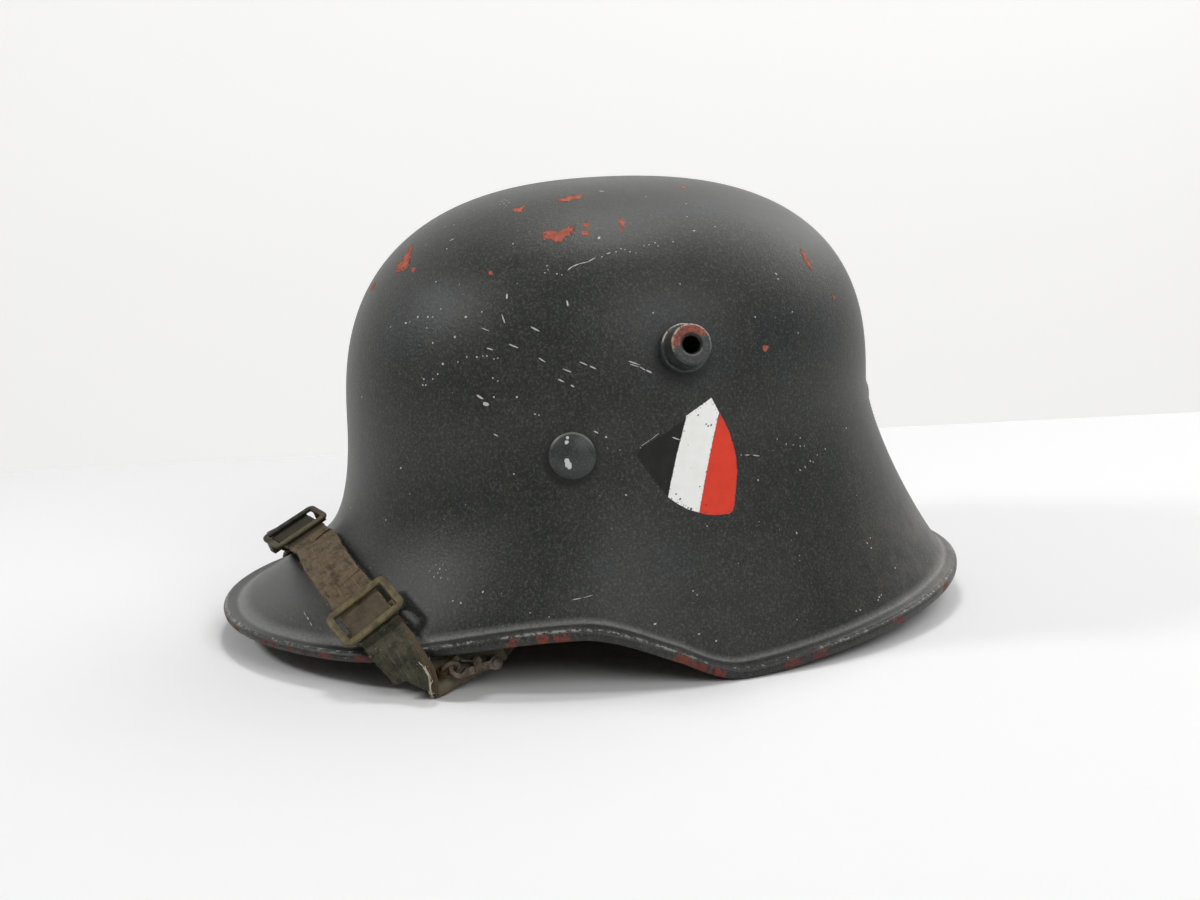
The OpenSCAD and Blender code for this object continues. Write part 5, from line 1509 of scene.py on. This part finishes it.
def lace_holes(piece, mid_a, half_a, side):
    """Cuts the two finger holes through which the lace runs."""
    flip = np.array([side, 1, 1])
    parts = []
    for hand in (-1, 1):
        a = mid_a + hand * half_a * FINGER_SHARE
        p, n = pad_mid(a, LACE_HOLE_V), pad_normal(a, LACE_HOLE_V)
        parts.append(tube([(p - n * 4) * flip, (p + n * 4) * flip], LACE_HOLE_R, 28))
    cutter = new_mesh("cutter", *merge(parts))
    weld(cutter, 0.001)
    cut_holes(piece, cutter)


def cushion_look():
    look = Look("cushion_cloth", level=0.15)
    look.set("Sheen Weight", 0.25)
    cloud = look.noise(9, 4, 0.6, seed=83)
    weave = look.times(look.threads((0.1, 0.1, 1), "Z", 0.32), look.threads((1, 1, 0.1), "DIAGONAL", 0.28))
    tone = look.blend(look.fade(cloud, 0.35, 0.7), srgb(150, 141, 118), srgb(116, 106, 84))
    tone = look.coat(tone, (84, 76, 58), look.flip(weave), 0.25)
    look.bump((cloud, 0.3), (weave, 0.12))
    return look.finish(tone, 0.9)


def swell(u):
    return max(0, 1 - abs(u) ** 2.6) ** 0.55


def cushion_mesh(name, mid_a, half_a, side, material):
    """A stuffed cushion behind a pad, flat against the leather and crowned towards the shell, with pinched
    corners."""
    rows, cols = 30, 56
    verts = []
    for back in (True, False):
        for p in np.linspace(-1, 1, rows):
            for q in np.linspace(-1, 1, cols):
                pinch = 1 - 0.1 * (1 - q * q) * abs(p) ** 6
                v = CUSHION_FOOT + CUSHION_RISE * (p * pinch + 1) / 2
                a = mid_a + half_a * q * (1 - 0.08 * (1 - p * p))
                tuft = 1 - 0.16 * abs(math.cos(q * math.pi * 2.5)) ** 6 * swell(p)
                depth = PAD_T / 2 + 0.5
                if back:
                    depth += 0.9 + (CUSHION_T - 1.6) * swell(p) * swell(q) * tuft
                else:
                    depth += 0.5 * (1 - swell(p) * swell(q))
                verts.append(pad_mid(a, v) + pad_normal(a, v) * depth)
    piece = new_mesh(name, np.array(verts) * [side, 1, 1], closed_sheet(rows, cols), material)
    weld(piece, 0.001)
    return piece


# Each pad: turn round the head of its middle, half its width in degrees, and the side
PADS = {"front": (0, 60, 1), "left": (123, 42, 1), "right": (123, 42, -1)}
# Angles of the six fingers' middles, round the head
FINGERS = [mid + hand * half * FINGER_SHARE
           for mid, half in ((0, 60), (123, 42), (237, 42)) for hand in (-1, 1)]


def add_lace():
    look = Look("lace_cord", level=0.2)
    tone = look.blend(look.noise(2, 3, 0.6, seed=84), srgb(150, 136, 104), srgb(110, 98, 74))
    look.bump((look.noise(0.35, 3, 0.6, seed=85), 0.08))
    turns = FINGERS + [FINGERS[0] + 360]
    pts = []
    for k in range(len(FINGERS)):
        for f in (0, 0.06, 0.2, 0.35, 0.5, 0.65, 0.8, 0.94):
            a = turns[k] + (turns[k + 1] - turns[k]) * f
            off = (2.7 if k % 2 == 0 else -2.7) if f > 0 else 0
            pts.append(pad_mid(a, LACE_HOLE_V) + pad_normal(a, LACE_HOLE_V) * off)
    pts = np.array(pts)
    n = len(pts)
    fine = catmull(np.concatenate([pts[-2:], pts, pts[:3]]), 8)[16:16 + n * 8]
    verts, faces = tube(fine, LACE_R, 12, True, (3, 0.12, 0.16))
    piece = new_mesh("lace", verts, faces, look.finish(tone, 0.85))
    put_on(piece, BODY, "lace_cord", "liner_lace")


def add_liner():
    leather, cloth = liner_leather(), cushion_look()
    for name, (mid_a, half_a, side) in PADS.items():
        pad = pad_mesh("pad_" + name, mid_a, half_a, side, leather)
        lace_holes(pad, mid_a, half_a, side)
        put_on(pad, BODY, "liner_leather", "liner_pad_" + name)
        wide = half_a * (0.72 if name == "front" else 0.8)
        cushion = cushion_mesh("stuffed_" + name, mid_a, wide, side, cloth)
        put_on(cushion, BODY, "cushion_cloth", "cushion_" + name)
    add_lace()


# CAD pieces whose shape stays

def dress(material, *names):
    for name in names:
        mesh = NODES[name].data
        mesh.materials.clear()
        mesh.materials.append(material)


def dress_hard_parts():
    dress(lug_look(1), "vent_lug_left")
    dress(lug_look(-1), "vent_lug_right")
    dress(pin_look(), "liner_pin_left", "liner_pin_right", "liner_pin_rear")
    band = steel_look("band_steel", srgb(96, 98, 96), srgb(84, 52, 34), 0.35, 0.7)
    dress(band, "liner_band", "pin_washer_left", "pin_washer_right", "pin_washer_rear", "strap_bracket_left",
          "strap_bracket_right")
    rivets = steel_look("rivet_steel", srgb(112, 112, 106), srgb(84, 56, 38), 0.25, 0.75)
    dress(rivets, "pad_rivets", "bracket_rivets")
    rusty = steel_look("rusty_wire", srgb(112, 104, 94), srgb(86, 74, 62), 0.7, 0.35)
    dress(rusty, "carbine_hook", "hook_rivet", "hook_gate", "gate_pin", "hook_ring")
    rings = steel_look("ring_wire", srgb(64, 60, 54), srgb(86, 54, 36), 0.6, 0.6)
    dress(rings, "band_ring_left", "band_ring_right")
    keeper = Look("keeper_leather", rough=0.8, level=0.25)
    tone = keeper.cloudy(1.4, 3, 0.6, 86, srgb(70, 52, 36), srgb(44, 32, 22))
    keeper.bump((keeper.noise(0.4, 3, 0.6, seed=87), 0.1))
    dress(keeper.finish(tone), "ring_keeper")


add_camera()
add_world()
add_stage()
for lamp_name, lamp in LAMPS.items():
    add_area(lamp_name, *lamp)
surface = add_shell()
add_shield(surface)
add_chips(surface)
add_scratches(surface)
add_straps()
add_buckles()
add_liner()
dress_hard_parts()
